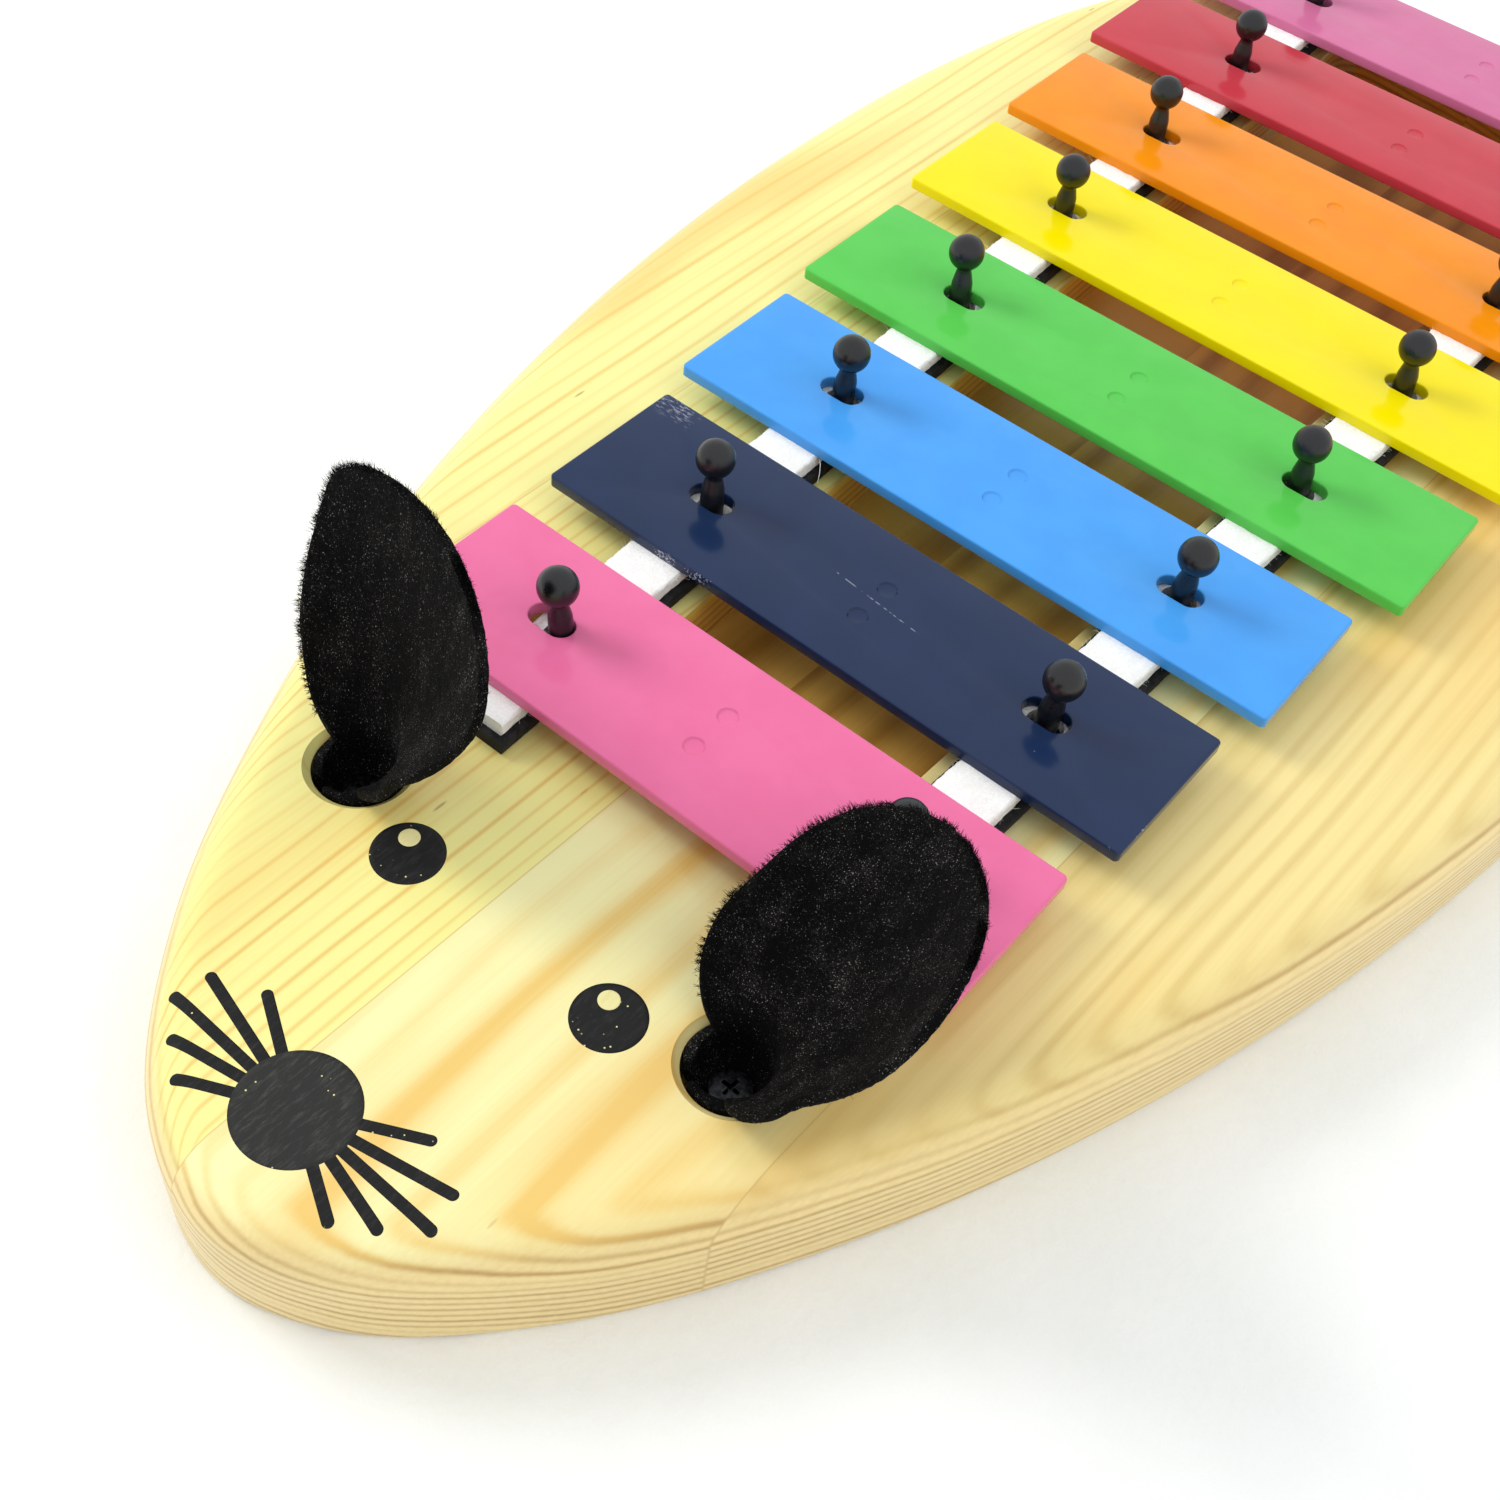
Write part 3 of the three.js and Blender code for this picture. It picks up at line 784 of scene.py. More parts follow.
@dataclass(frozen=True)
class Rubber:
    """Black foam rubber, matt, with fine pores."""

    name: str = "rubber"
    light: Colour = (46, 45, 46)
    dark: Colour = (18, 18, 19)

    def material(self) -> bpy.types.Material:
        """Builds the material.

        Returns:
            The material.
        """
        g = Graph(self.name, specular_ior_level=0.3)
        place = g.place()
        pore, _ = g.cells(place, (2.5, 2.5, 2.5))
        cloud = g.noise(place, (0.6, 0.6, 0.6), detail=3)
        g.shade(base_color=g.tone(cloud, 0.35, 0.7, self.dark, self.light))
        g.shade(roughness=g.between(cloud, 0.3, 0.7, 0.7, 0.9))
        g.bump(g.between(pore, 0.1, 0.5), 0.1)
        return g.material


@dataclass(frozen=True)
class PegGloss:
    """Black peg paint, half glossy, with handling marks."""

    name: str = "peg_black"
    light: Colour = (34, 35, 37)
    dark: Colour = (9, 9, 10)

    def material(self) -> bpy.types.Material:
        """Builds the material.

        Returns:
            The material.
        """
        g = Graph(self.name, specular_ior_level=0.6)
        place = g.place()
        cloud = g.noise(place, (0.5, 0.5, 0.5), detail=4)
        mark = g.noise(place, (3, 3, 1.2), detail=4, rough=0.7)
        g.shade(base_color=g.tone(mark, 0.55, 0.8, self.dark, self.light))
        g.shade(roughness=g.between(cloud, 0.3, 0.7, 0.26, 0.38))
        g.bump(mark, 0.02)
        return g.material


@dataclass(frozen=True)
class SplitLeather:
    """Black split leather with a raised nap, and painted glints: pale specks in upright streaks that stand
    for light caught on the nap's fibre ends.
    """

    name: str = "ear_leather"
    dark: Colour = (5, 5, 5)
    light: Colour = (28, 27, 26)
    # Colour of the painted glints of light on the nap's fibres
    glint: Colour = (170, 167, 160)

    def material(self) -> bpy.types.Material:
        """Builds the material.

        Returns:
            The material.
        """
        g = Graph(self.name, roughness=0.95, specular_ior_level=0.1)
        place = g.place()
        cloud = g.noise(place, (0.25, 0.25, 0.09), detail=3)
        nap = g.noise(place, (2.8, 2.8, 1.4), detail=4, rough=0.7)
        fibre = g.noise(place, (7, 7, 3), detail=2, rough=0.6)
        tone = g.math("MULTIPLY_ADD", cloud, 0.4, g.product(nap, 0.6))
        colour = g.tone(tone, 0.45, 0.68, self.dark, self.light)
        # Painted glints: pale specks in upright streaks that stand for light caught on the fibre ends
        speck = g.between(g.sway(fibre, cloud, 0.15), 0.65, 0.73)
        colour = g.mix(g.product(speck, 0.75), colour, linear(self.glint))
        g.shade(base_color=colour)
        g.bump(nap, 0.25)
        return g.material


@dataclass(frozen=True)
class Zinc:
    """Zinc-plated steel with a turned face, its tones darkened to paint the shade that the screw lies in at
    the bottom of the ear's cup.
    """

    name: str = "screw_steel"
    # Dark tones: painted shade of the ear's cup over the zinc
    light: Colour = (62, 63, 65)
    dark: Colour = (32, 33, 35)

    def material(self) -> bpy.types.Material:
        """Builds the material.

        Returns:
            The material.
        """
        g = Graph(self.name, metallic=1.0)
        place = g.place()
        cloud = g.noise(place, (1.5, 1.5, 1.5), detail=4)
        g.shade(base_color=g.tone(cloud, 0.35, 0.65, self.dark, self.light))
        g.shade(roughness=g.between(cloud, 0.3, 0.7, 0.28, 0.45))
        g.bump(cloud, 0.03)
        return g.material


@dataclass(frozen=True)
class Ink:
    """Screen-printed ink on wood: fine grain, with bare specks, more of them towards one side."""

    name: str
    colour: Colour = (22, 22, 22)
    streaked: Colour = (44, 43, 42)
    bare: Colour = (224, 214, 150)
    worn_below: float = -999.0

    def material(self) -> bpy.types.Material:
        """Builds the material.

        Returns:
            The material.
        """
        g = Graph(self.name, specular_ior_level=0.25)
        place = g.place()
        streak = g.noise(place, (2.2, 0.4, 2.2), detail=4, rough=0.75)
        away, random = g.cells(place, (1.1, 1.1, 1.1))
        colour = g.tone(streak, 0.45, 0.75, self.colour, self.streaked)
        below = g.between(g.parts(place)[1], self.worn_below, self.worn_below + 3, 0.5, 0)
        speck = g.product(g.between(away, 0.08, 0.16, 1, 0),
                       g.between(g.math("ADD", random, below), 0.80, 0.86))
        g.shade(base_color=g.mix(speck, colour, linear(self.bare)))
        g.shade(roughness=g.between(streak, 0.3, 0.7, 0.5, 0.65))
        g.bump(streak, 0.01)
        return g.material


@dataclass(frozen=True)
class Paper:
    """The pale table: faintly mottled, matt."""

    name: str = "table"
    light: Colour = (241, 242, 239)
    dark: Colour = (237, 239, 235)

    def material(self) -> bpy.types.Material:
        """Builds the material.

        Returns:
            The material.
        """
        g = Graph(self.name, roughness=0.9, specular_ior_level=0.1)
        place = g.place()
        cloud = g.noise(place, (0.05, 0.05, 0.05), detail=5, rough=0.6)
        g.shade(base_color=g.tone(cloud, 0.3, 0.7, self.dark, self.light))
        g.bump(g.noise(place, (0.5, 0.5, 0.5), detail=4), 0.15)
        return g.material


# The object


@dataclass(frozen=True)
class Layout:
    """Heights and places that several pieces share, in millimetres."""

    board_top: float = 18.0
    rubber_thickness: float = 2.0
    felt_thickness: float = 2.0
    bar_thickness: float = 2.0
    bar_count: int = 8
    bar_pitch: float = 32.0
    bar_width: float = 25.0
    rubber_width: float = 11.0
    nose_to_first_bar: float = 83.1
    last_bar_to_tail: float = 22.5
    first_peg_half_span: float = 27.2
    last_peg_half_span: float = 35.3
    ear_half_span: float = 31.0
    ear_behind_nose: float = 52.1
    ear_hole_depth: float = 8.6
    shift: float = -1.5
    turn: float = 1.4
    face_shift: float = -0.8

    @property
    def felt_bottom(self) -> float:
        """Height of the felt's underside."""
        return self.board_top + self.rubber_thickness

    @property
    def bar_bottom(self) -> float:
        """Height of the bars' underside."""
        return self.felt_bottom + self.felt_thickness

    @property
    def bar_top(self) -> float:
        """Height of the bars' upper face."""
        return self.bar_bottom + self.bar_thickness

    @property
    def length(self) -> float:
        """Length of the board."""
        return self.nose_to_first_bar + (self.bar_count - 1) * self.bar_pitch + self.last_bar_to_tail

    @property
    def nose_y(self) -> float:
        """Place of the board's nose."""
        return -self.length / 2

    @property
    def ear_y(self) -> float:
        """Place of the ears' holes along the board."""
        return self.nose_y + self.ear_behind_nose

    def bar_y(self, index: Array | int) -> Array | float:
        """Place of a bar's middle, the first one by the nose."""
        return self.nose_y + self.nose_to_first_bar + index * self.bar_pitch

    def peg_half_span(self, y: Array | float) -> Array | float:
        """Half the distance between the rails' middles at a place along the board."""
        share = (y - self.bar_y(0)) / (self.bar_y(self.bar_count - 1) - self.bar_y(0))
        return self.first_peg_half_span + (self.last_peg_half_span - self.first_peg_half_span) * share

    def rail_x(self, side: Side, y: Array | float) -> Array | float:
        """Place of a rail's middle across the bars' own layout, at a place along it."""
        return side.value * self.peg_half_span(y)

    def laid(self, surface: Surface) -> Surface:
        """A surface of the bars' own layout, square to them, turned and moved onto the board."""
        return surface.placed(turn_about_z(self.turn), np.array([self.shift, 0, 0]))

    def ear_place(self, side: Side) -> Array:
        """Middle of an ear's hole, on the board's underside."""
        return np.array([self.face_shift + side.value * self.ear_half_span, self.ear_y, 0])

    def node(self, index: int) -> str:
        """The bar's number in node names, counted from the tail."""
        return str(self.bar_count - index)


@dataclass
class Board:
    """The mouse-shaped board with its hollow, holes and printed face."""

    layout: Layout
    half_width: float = 84.6
    top_edge_radius: float = 6.0
    foot_edge_radius: float = 1.2
    # The outline from the nose to the tail: share of the length, share of the half width
    outline_shares: tuple = (
        (0, 0), (0.016, 0.18), (0.07, 0.388), (0.155, 0.585), (0.25, 0.742), (0.37, 0.88),
        (0.495, 0.967), (0.615, 1), (0.735, 0.987), (0.86, 0.905), (0.945, 0.767), (0.985, 0.505), (1, 0),
    )
    outline_steps: int = 30
    foot_steps: int = 5
    top_steps: int = 18
    ease_steps: int = 4
    hollow_ledge: float = 2.3
    hollow_depth: float = 8.0
    hollow_end_inset: float = 7.5
    hollow_corner_radius: float = 6.0
    hollow_corner_steps: int = 10
    ease: float = 0.35
    ear_hole_radius: float = 6.2
    ear_hole_chamfer: float = 1.0
    pilot_radius: float = 1.5
    pilot_depth: float = 5.8
    reach: float = 2.0
    nose_radius: float = 7.3
    nose_behind_tip: float = 14.95
    eye_radius: float = 4.65
    eye_half_span: float = 16.6
    eye_behind_tip: float = 46.7
    disc_sides: int = 72
    disc_rings: int = 8
    glint_radius: float = 1.35
    glint_aside: tuple = (-1.59, 1.73)
    whisker_half_width: float = 0.7
    whisker_root: float = 6.3
    whisker_cap_steps: int = 8
    whisker_steps: int = 25
    whisker_columns: int = 7
    # The whiskers' tips from the middle of the nose disc, on the right
    whisker_tips: tuple = ((13.3, 7.3), (19.6, 4.5), (20.8, 0.2), (16.6, -3.5), (12.3, -6.4))
    ink_rise: float = 0.012
    ink_thickness: float = 0.03
    second_ink_rise: float = 0.006
    merge_distance: float = 0.002
    wear_below_middle: float = 2.0
    # Each print's two inks
    nose_inks: tuple = ((41, 41, 39), (70, 69, 65))
    glint_inks: tuple = ((231, 222, 158), (226, 214, 146))

    def outline(self) -> Array:
        """The board's outline, counter-clockwise: a closed centripetal spline through the shares.

        Returns:
            Points p(t) = h1 p1 + h2 m1 + h3 p2 + h4 m2 with the cubic Hermite weights h and tangents m
            that follow from the square roots of the distances between neighbouring shares.
        """
        shares = np.array(self.outline_shares)
        right = np.column_stack([shares[:, 1] * self.half_width,
                                 self.layout.nose_y + shares[:, 0] * self.layout.length])
        points = np.vstack([right, right[1:-1][::-1] * [-1, 1]])
        before, start, end, after = (np.roll(points, -shift, axis=0) for shift in (-1, 0, 1, 2))
        gap0, gap1, gap2 = (np.linalg.norm(b - a, axis=1)[:, None] ** 0.5
                            for a, b in ((before, start), (start, end), (end, after)))
        leave = ((start - before) / gap0 - (end - before) / (gap0 + gap1) + (end - start) / gap1) * gap1
        arrive = ((end - start) / gap1 - (after - start) / (gap1 + gap2) + (after - end) / gap2) * gap1
        t = np.linspace(0, 1, self.outline_steps, endpoint=False)[:, None]
        weights = (2 * t**3 - 3 * t**2 + 1, t**3 - 2 * t**2 + t, 3 * t**2 - 2 * t**3, t**3 - t**2)
        curve = sum(w * p[:, None] for w, p in zip(weights, (start, leave, end, arrive)))
        return curve.reshape(-1, 2)

    def inside_by(self, points: Array) -> Array:
        """How far points lie inside the outline.

        Args:
            points: flat points.

        Returns:
            Each point's least distance to the outline's sides.
        """
        start = self.outline()
        side = np.roll(start, -1, axis=0) - start
        offset = points[:, None] - start
        share = np.clip((offset * side).sum(-1) / (side * side).sum(-1), 0, 1)
        return np.linalg.norm(offset - share[..., None] * side, axis=-1).min(axis=1)

    def top_at(self, points: Array) -> Array:
        """Height of the board's upper side over flat points: flat, then the edge's quarter circle."""
        fall = np.clip(self.top_edge_radius - self.inside_by(points), 0, self.top_edge_radius)
        return self.layout.board_top - self.top_edge_radius + np.sqrt(self.top_edge_radius**2 - fall**2)

    def blank(self) -> Surface:
        """The board before it is cut.

        Returns:
            The outline carried up, drawn in over quarter circles at the foot and the top.
        """
        outline, top = self.outline(), self.layout.board_top
        rings = edge_rings(outline, 0, self.foot_edge_radius, self.foot_steps, foot=True)
        rings += edge_rings(outline, top, self.top_edge_radius, self.top_steps)
        rings.append(at_height(drawn_in(outline, self.top_edge_radius + self.ease), top))
        return stacked(np.array(rings))

    def hollow(self) -> Surface:
        """The hollow's cutter.

        Returns:
            A tapering outline with round corners carried up, flared where it meets the board's top.
        """
        layout = self.layout
        front = layout.bar_y(0) - layout.bar_width / 2 + self.hollow_end_inset
        rear = layout.bar_y(layout.bar_count - 1) + layout.bar_width / 2 - self.hollow_end_inset
        middle, half = (front + rear) / 2, (rear - front) / 2
        corner = self.hollow_corner_radius
        outline = rounded_outline(half, half, corner, self.hollow_corner_steps)
        inner = layout.rubber_width / 2 + self.hollow_ledge
        width = layout.peg_half_span(outline[:, 1] + middle) - inner
        past = np.abs(outline[:, 0]) - (half - corner)
        x = np.sign(outline[:, 0]) * (width - corner + np.where(past > 0, past, 0))
        outline = np.column_stack([x, outline[:, 1] + middle])
        top = layout.board_top
        rings = [at_height(outline, top - self.hollow_depth),
                 *edge_rings(outline, top, self.ease, self.ease_steps, way=-1),
                 at_height(drawn_in(outline, -self.ease), top + self.reach)]
        return layout.laid(stacked(np.array(rings)))

    def ear_hole(self, side: Side) -> Surface:
        """The cutter of an ear's hole.

        Args:
            side: the board's side.

        Returns:
            The hole with its chamfer and, below it, the screw's pilot hole.
        """
        top, radius = self.layout.board_top, self.ear_hole_radius
        floor, mouth = top - self.layout.ear_hole_depth, radius + self.ear_hole_chamfer
        pilot = floor - self.pilot_depth
        profile = np.array([
            (0, pilot), (self.pilot_radius, pilot), (self.pilot_radius, floor), (radius, floor),
            (radius, top - self.ear_hole_chamfer), (mouth, top), (mouth, top + self.reach),
            (0, top + self.reach),
        ])
        return lathed(profile, self.disc_sides).placed(np.eye(3), self.layout.ear_place(side))

    def disc(self, middle: Array, radius: float) -> Surface:
        """A printed disc that lies on the board.

        Args:
            middle: its middle.
            radius: its radius.

        Returns:
            Rings of points at t radius (cos a, sin a) about the middle, lifted to the board's height.
        """
        rings, sides = self.disc_rings, self.disc_sides
        t = np.linspace(0, 1, rings + 1)[1:, None]
        angle = np.linspace(0, 2 * np.pi, sides, endpoint=False)
        flat = middle + radius * np.stack([t * np.cos(angle), t * np.sin(angle)], axis=-1)
        flat = np.vstack([middle[None], flat.reshape(-1, 2)])
        k = np.arange(sides)
        fan = np.stack([0 * k, 1 + k, 1 + (k + 1) % sides], axis=-1)
        quads = row_quads(rings, sides)[:, ::-1] + 1
        return Surface(np.column_stack([flat, self.top_at(flat) + self.ink_rise]), [fan, quads])

    def whisker(self, middle: Array, end: Array) -> Surface:
        """A printed stroke that points away from the nose disc.

        Args:
            middle: middle of the nose disc.
            end: the stroke's tip.

        Returns:
            A strip on the board, its half width w sqrt(1 - (1 - d / w)^2) where the distance d to an end
            is less than w.
        """
        w, steps, columns = self.whisker_half_width, self.whisker_steps, self.whisker_columns
        way = (end - middle) / np.linalg.norm(end - middle)
        start = middle + self.whisker_root * way
        length = np.linalg.norm(end - start) + 2 * w
        cap = w * (1 - np.cos(np.linspace(0, np.pi / 2, self.whisker_cap_steps + 1)))
        along = np.concatenate([cap, np.linspace(w, length - w, steps + 1)[1:-1], length - cap[::-1]])
        from_end = np.minimum(along, length - along)
        half = w * np.sqrt(1 - np.clip(1 - from_end / w, 0, 1) ** 2)
        across = np.linspace(-1, 1, columns)
        left = np.array([-way[1], way[0]])
        flat = (start - w * way) + along[:, None, None] * way + (half[:, None] * across)[..., None] * left
        points = flat.reshape(-1, 2)
        quads = row_quads(len(along), columns, closed=False)[:, ::-1]
        return Surface(np.column_stack([points, self.top_at(points) + self.ink_rise]), [quads])

    def printed(self, name: str, shapes: Sequence[Surface], ink: Ink, rise: float = 0.0) -> None:
        """Makes one printed piece, a film of ink that reaches a little into the wood.

        Args:
            name: the piece's name.
            shapes: the printed shapes.
            ink: its finish.
            rise: how far it lies above the other prints.
        """
        shape = joined(shapes)
        piece = new_piece(name, Surface(shape.points + [0, 0, rise], shape.faces))
        merged(piece, self.merge_distance)
        film = piece.modifiers.new("film", "SOLIDIFY")
        film.thickness, film.offset = self.ink_thickness * MM, -1
        outfit(piece, ink.material(), "body", None)

    def build(self) -> None:
        """Builds the board and prints its face."""
        layout = self.layout
        board = new_piece("board", self.blank())
        pegs = Pegs(layout)
        holes = [pegs.hole(index, side, pegs.hole_clearance) for index in range(layout.bar_count)
                 for side in Side]
        carve(board, [self.hollow(), *(self.ear_hole(side) for side in Side), *holes])
        outfit(board, Pine().material(), "body", "pine", "body_board")
        nose = np.array([layout.face_shift, layout.nose_y + self.nose_behind_tip])
        eye_y = layout.nose_y + self.eye_behind_tip
        eyes = [np.array([layout.face_shift + side.value * self.eye_half_span, eye_y]) for side in Side]
        strokes = [self.whisker(nose, nose + np.array(tip) * [side.value, 1])
                   for tip in self.whisker_tips for side in Side]
        self.printed("print_nose", [self.disc(nose, self.nose_radius)],
                     Ink("print_black", *self.nose_inks), self.second_ink_rise)
        self.printed("print_whiskers", strokes, Ink("print_whisker_black"))
        self.printed("print_eyes", [self.disc(eye, self.eye_radius) for eye in eyes],
                     Ink("print_eye_black", worn_below=eye_y - self.wear_below_middle))
        self.printed("print_glints", [self.disc(eye + np.array(self.glint_aside), self.glint_radius)
                                      for eye in eyes],
                     Ink("print_cream", *self.glint_inks), self.second_ink_rise)


@dataclass
class Pegs:
    """The sixteen ball-headed pegs."""

    layout: Layout
    stem_radius: float = 1.65
    foot_radius: float = 1.75
    head_radius: float = 2.8
    head_height: float = 7.3
    seat_depth: float = 10.0
    hole_clearance: float = 0.2
    felt_clearance: float = 0.9
    hole_overrun: float = 1.0
    hole_sides: int = 24
    neck_at_ball: float = 0.5
    neck_rows: int = 25
    crown_steps: int = 13
    sides: int = 40
    # How far each ball stands aside of its foot: share of the head height, to the right and to the
    # tail, for the left and the right peg of each bar
    lean_shares: tuple = (
        (-0.05, -0.04, 0.03, 0.03), (-0.05, 0.06, 0.08, -0.01), (0.06, -0.03, 0.07, -0.06),
        (-0.09, 0.06, -0.05, -0.05), (0.03, -0.06, -0.05, -0.06), (-0.03, 0.02, 0.04, 0.03),
        (0.02, -0.03, -0.04, 0.04), (0.05, 0.03, -0.03, -0.03),
    )

    def stand(self, index: int, side: Side) -> tuple[Array, Array]:
        """How a peg stands.

        Args:
            index: its bar, the first one by the nose.
            side: the board's side.

        Returns:
            Its turn, and its foot where it passes the bar's upper face.
        """
        lean = self.lean_shares[index][:2] if side is Side.LEFT else self.lean_shares[index][2:]
        y = self.layout.bar_y(index)
        foot = np.array([self.layout.rail_x(side, y), y, self.layout.bar_top])
        return toward(np.array([*lean, 1.0])), foot

    def hole(self, index: int, side: Side, clearance: float) -> Surface:
        """The cutter of a peg's hole.

        Args:
            index: the peg's bar, the first one by the nose.
            side: the board's side.
            clearance: how much wider than the peg it is, all round.

        Returns:
            A rod that leans as the peg does, from its seat to above the bar.
        """
        radius, over = self.foot_radius + clearance, self.hole_overrun
        profile = np.array([(0, self.seat), (radius, self.seat), (radius, over), (0, over)])
        return self.layout.laid(lathed(profile, self.hole_sides).placed(*self.stand(index, side)))

    @property
    def seat(self) -> float:
        """Height of the peg's lower end, from the bar's upper face."""
        return self.layout.board_top - self.layout.bar_top - self.seat_depth

    def profile(self) -> Array:
        """The peg's profile.

        Returns:
            Radius and height from the bar's upper face: (stem^4 + ball^4)^(1/4) up to the ball's
            middle, and the ball alone above it.
        """
        thick = self.layout.bar_thickness
        low = np.linspace(-thick, self.head_height, self.neck_rows + 1)[:-1]
        stem = np.interp(low, [-thick, thick, self.head_height],
                         [self.foot_radius, self.stem_radius, self.neck_at_ball])
        ball = np.sqrt(np.clip(self.head_radius**2 - (low - self.head_height) ** 2, 0, None))
        angle = np.linspace(0, np.pi / 2, self.crown_steps + 1)
        neck = np.column_stack([(stem**4 + ball**4) ** (1 / 4), low])
        crown = np.column_stack([self.head_radius * np.cos(angle),
                                 self.head_height + self.head_radius * np.sin(angle)])
        crown[-1, 0] = 0
        return np.vstack([[0, self.seat], [self.foot_radius, self.seat], neck, crown])

    def build(self) -> None:
        """Builds the pegs."""
        material = PegGloss().material()
        shape = lathed(self.profile(), self.sides)
        for index in range(self.layout.bar_count):
            for side in Side:
                name = f"{self.layout.node(index)}_{side.word}"
                standing = self.layout.laid(shape.placed(*self.stand(index, side)))
                outfit(new_piece(f"pin_{name}", standing), material, "body", "peg_black", f"peg_{name}")


@dataclass
class Rails:
    """The rubber strips and the felt strips on them."""

    layout: Layout
    felt_width: float = 9.0
    front_overhang: float = 3.8
    rear_inset: float = 2.5
    rubber_extra: float = 1.0
    corner: float = 0.45
    corner_steps: int = 4
    side_steps: int = 6
    rows: int = 420
    swell: float = 0.25
    rubber_rough: float = 0.03
    felt_rough: float = 0.09
    # Sizes of the lumps in the strips' surface, and how much of their height a bar leaves
    lumps: tuple = (1.1, 0.45)
    pressed: float = 0.15
    pressed_depth: float = 0.3
    glued_height: float = 0.1
    swell_start: float = 0.1
    fuzz: int = 1500
    fuzz_radius: float = 0.025
    fuzz_start: float = -0.1
    fuzz_inset: float = 0.9
    fuzz_depths: tuple = (0.1, 0.5)
    fuzz_outward: float = 0.55
    fuzz_upward: float = 0.18
    fuzz_spread: float = 0.35
    fuzz_curl: float = 0.3
    thread_radius: float = 0.08
    thread_bow: tuple = (0.6, 0.9, 0.5)
    thread: tuple = ((-24.6, -29.6, 21.8), (-22.1, -33.0, 20.2))
    least_declared_width: float = 10.0

    def ends(self) -> tuple[float, float]:
        """Where the felt ends.

        Returns:
            Its front and rear ends along the board.
        """
        layout, half = self.layout, self.layout.bar_width / 2
        last = layout.bar_y(layout.bar_count - 1)
        return layout.bar_y(0) - half - self.front_overhang, last + half - self.rear_inset

    def between_bars(self, y: Array) -> Array:
        """From -1 under a bar's middle to 1 midway between two bars: -cos(2 pi (y - first) / pitch)."""
        return -np.cos(2 * np.pi * ((y - self.layout.bar_y(0)) / self.layout.bar_pitch))

    def strip(self, side: Side, width: float, ends: tuple[float, float], bottom: float, top: float,
              rough: float, swell: float) -> Surface:
        """A strip that follows a rail: a rounded section carried along it.

        Args:
            side: the board's side.
            width: the strip's width.
            ends: where it starts and ends along the board.
            bottom: height of its underside.
            top: height of its upper face under the bars.
            rough: how far noise moves its surface.
            swell: how far its top rises between the bars, by half a cosine wave.

        Returns:
            The closed strip.
        """
        layout = self.layout
        y = np.linspace(*ends, self.rows)
        half = np.array([width / 2, (top - bottom) / 2])
        section = rounded_outline(half[1], half[0], self.corner, self.corner_steps)
        section = section[np.argsort(np.arctan2(section[:, 1], section[:, 0]), kind="stable")]
        steps = np.linspace(0, 1, self.side_steps, endpoint=False)[:, None]
        section = (section[:, None] * (1 - steps) + np.roll(section, -1, axis=0)[:, None] * steps)
        section = section.reshape(-1, 2)
        rise = swell * np.clip(self.between_bars(y) - self.swell_start, 0, 1)
        height = section[:, 0] + np.where(section[:, 0] > 0, 1, 0) * rise[:, None]
        x = layout.rail_x(side, y)[:, None] + section[:, 1]
        rings = np.stack([x, y[:, None] + 0 * x, (top + bottom) / 2 + height], axis=-1)
        flat = rings.reshape(-1, 3)
        move = np.stack([sum(lattice_noise(flat, size, SEED + 3 * n + k) for n, size in enumerate(self.lumps))
                         for k in range(3)], axis=-1)
        hold = np.where(flat[:, 2] < bottom + self.glued_height, 0, 1)[:, None]
        under = self.pressed + (1 - self.pressed) * np.clip(self.between_bars(flat[:, 1]) * 2, 0, 1)
        move[:, 2] *= np.where(flat[:, 2] > top - self.pressed_depth, under, 1)
        return layout.laid(stacked((flat + rough * hold * move).reshape(rings.shape)))

    def felt_fuzz(self, side: Side, high: float) -> Surface:
        """Loose fibres along a felt strip's edges, and one pulled thread on the left strip.

        Args:
            side: the board's side.
            high: height of the felt's upper face.

        Returns:
            The fibres.
        """
        random = np.random.default_rng(SEED + side.value)
        layout, (front, rear) = self.layout, self.ends()
        y = random.uniform(front, rear, self.fuzz)
        edge = random.choice([-1, 1], self.fuzz)
        x = layout.rail_x(side, y) + edge * (self.felt_width / 2
                                             - random.uniform(0, self.fuzz_inset, self.fuzz))
        z = high - random.uniform(*self.fuzz_depths, self.fuzz)
        open_air = self.between_bars(y) > self.fuzz_start
        roots = np.column_stack([x, y, z])[open_air]
        outward = np.outer(edge[open_air] * self.fuzz_outward, [1, 0, 0]) + [0, 0, self.fuzz_upward]
        ways = random.normal(0, self.fuzz_spread, roots.shape) + outward
        curls = random.normal(0, self.fuzz_curl, roots.shape)
        fuzz = [hairs(roots, ways, curls, self.fuzz_radius)]
        if side is Side.LEFT:
            start, end = np.array(self.thread)
            bow = np.array(self.thread_bow)
            fuzz.append(hairs(start[None], (end - start + bow)[None], -bow[None], self.thread_radius))
        return layout.laid(joined(fuzz))

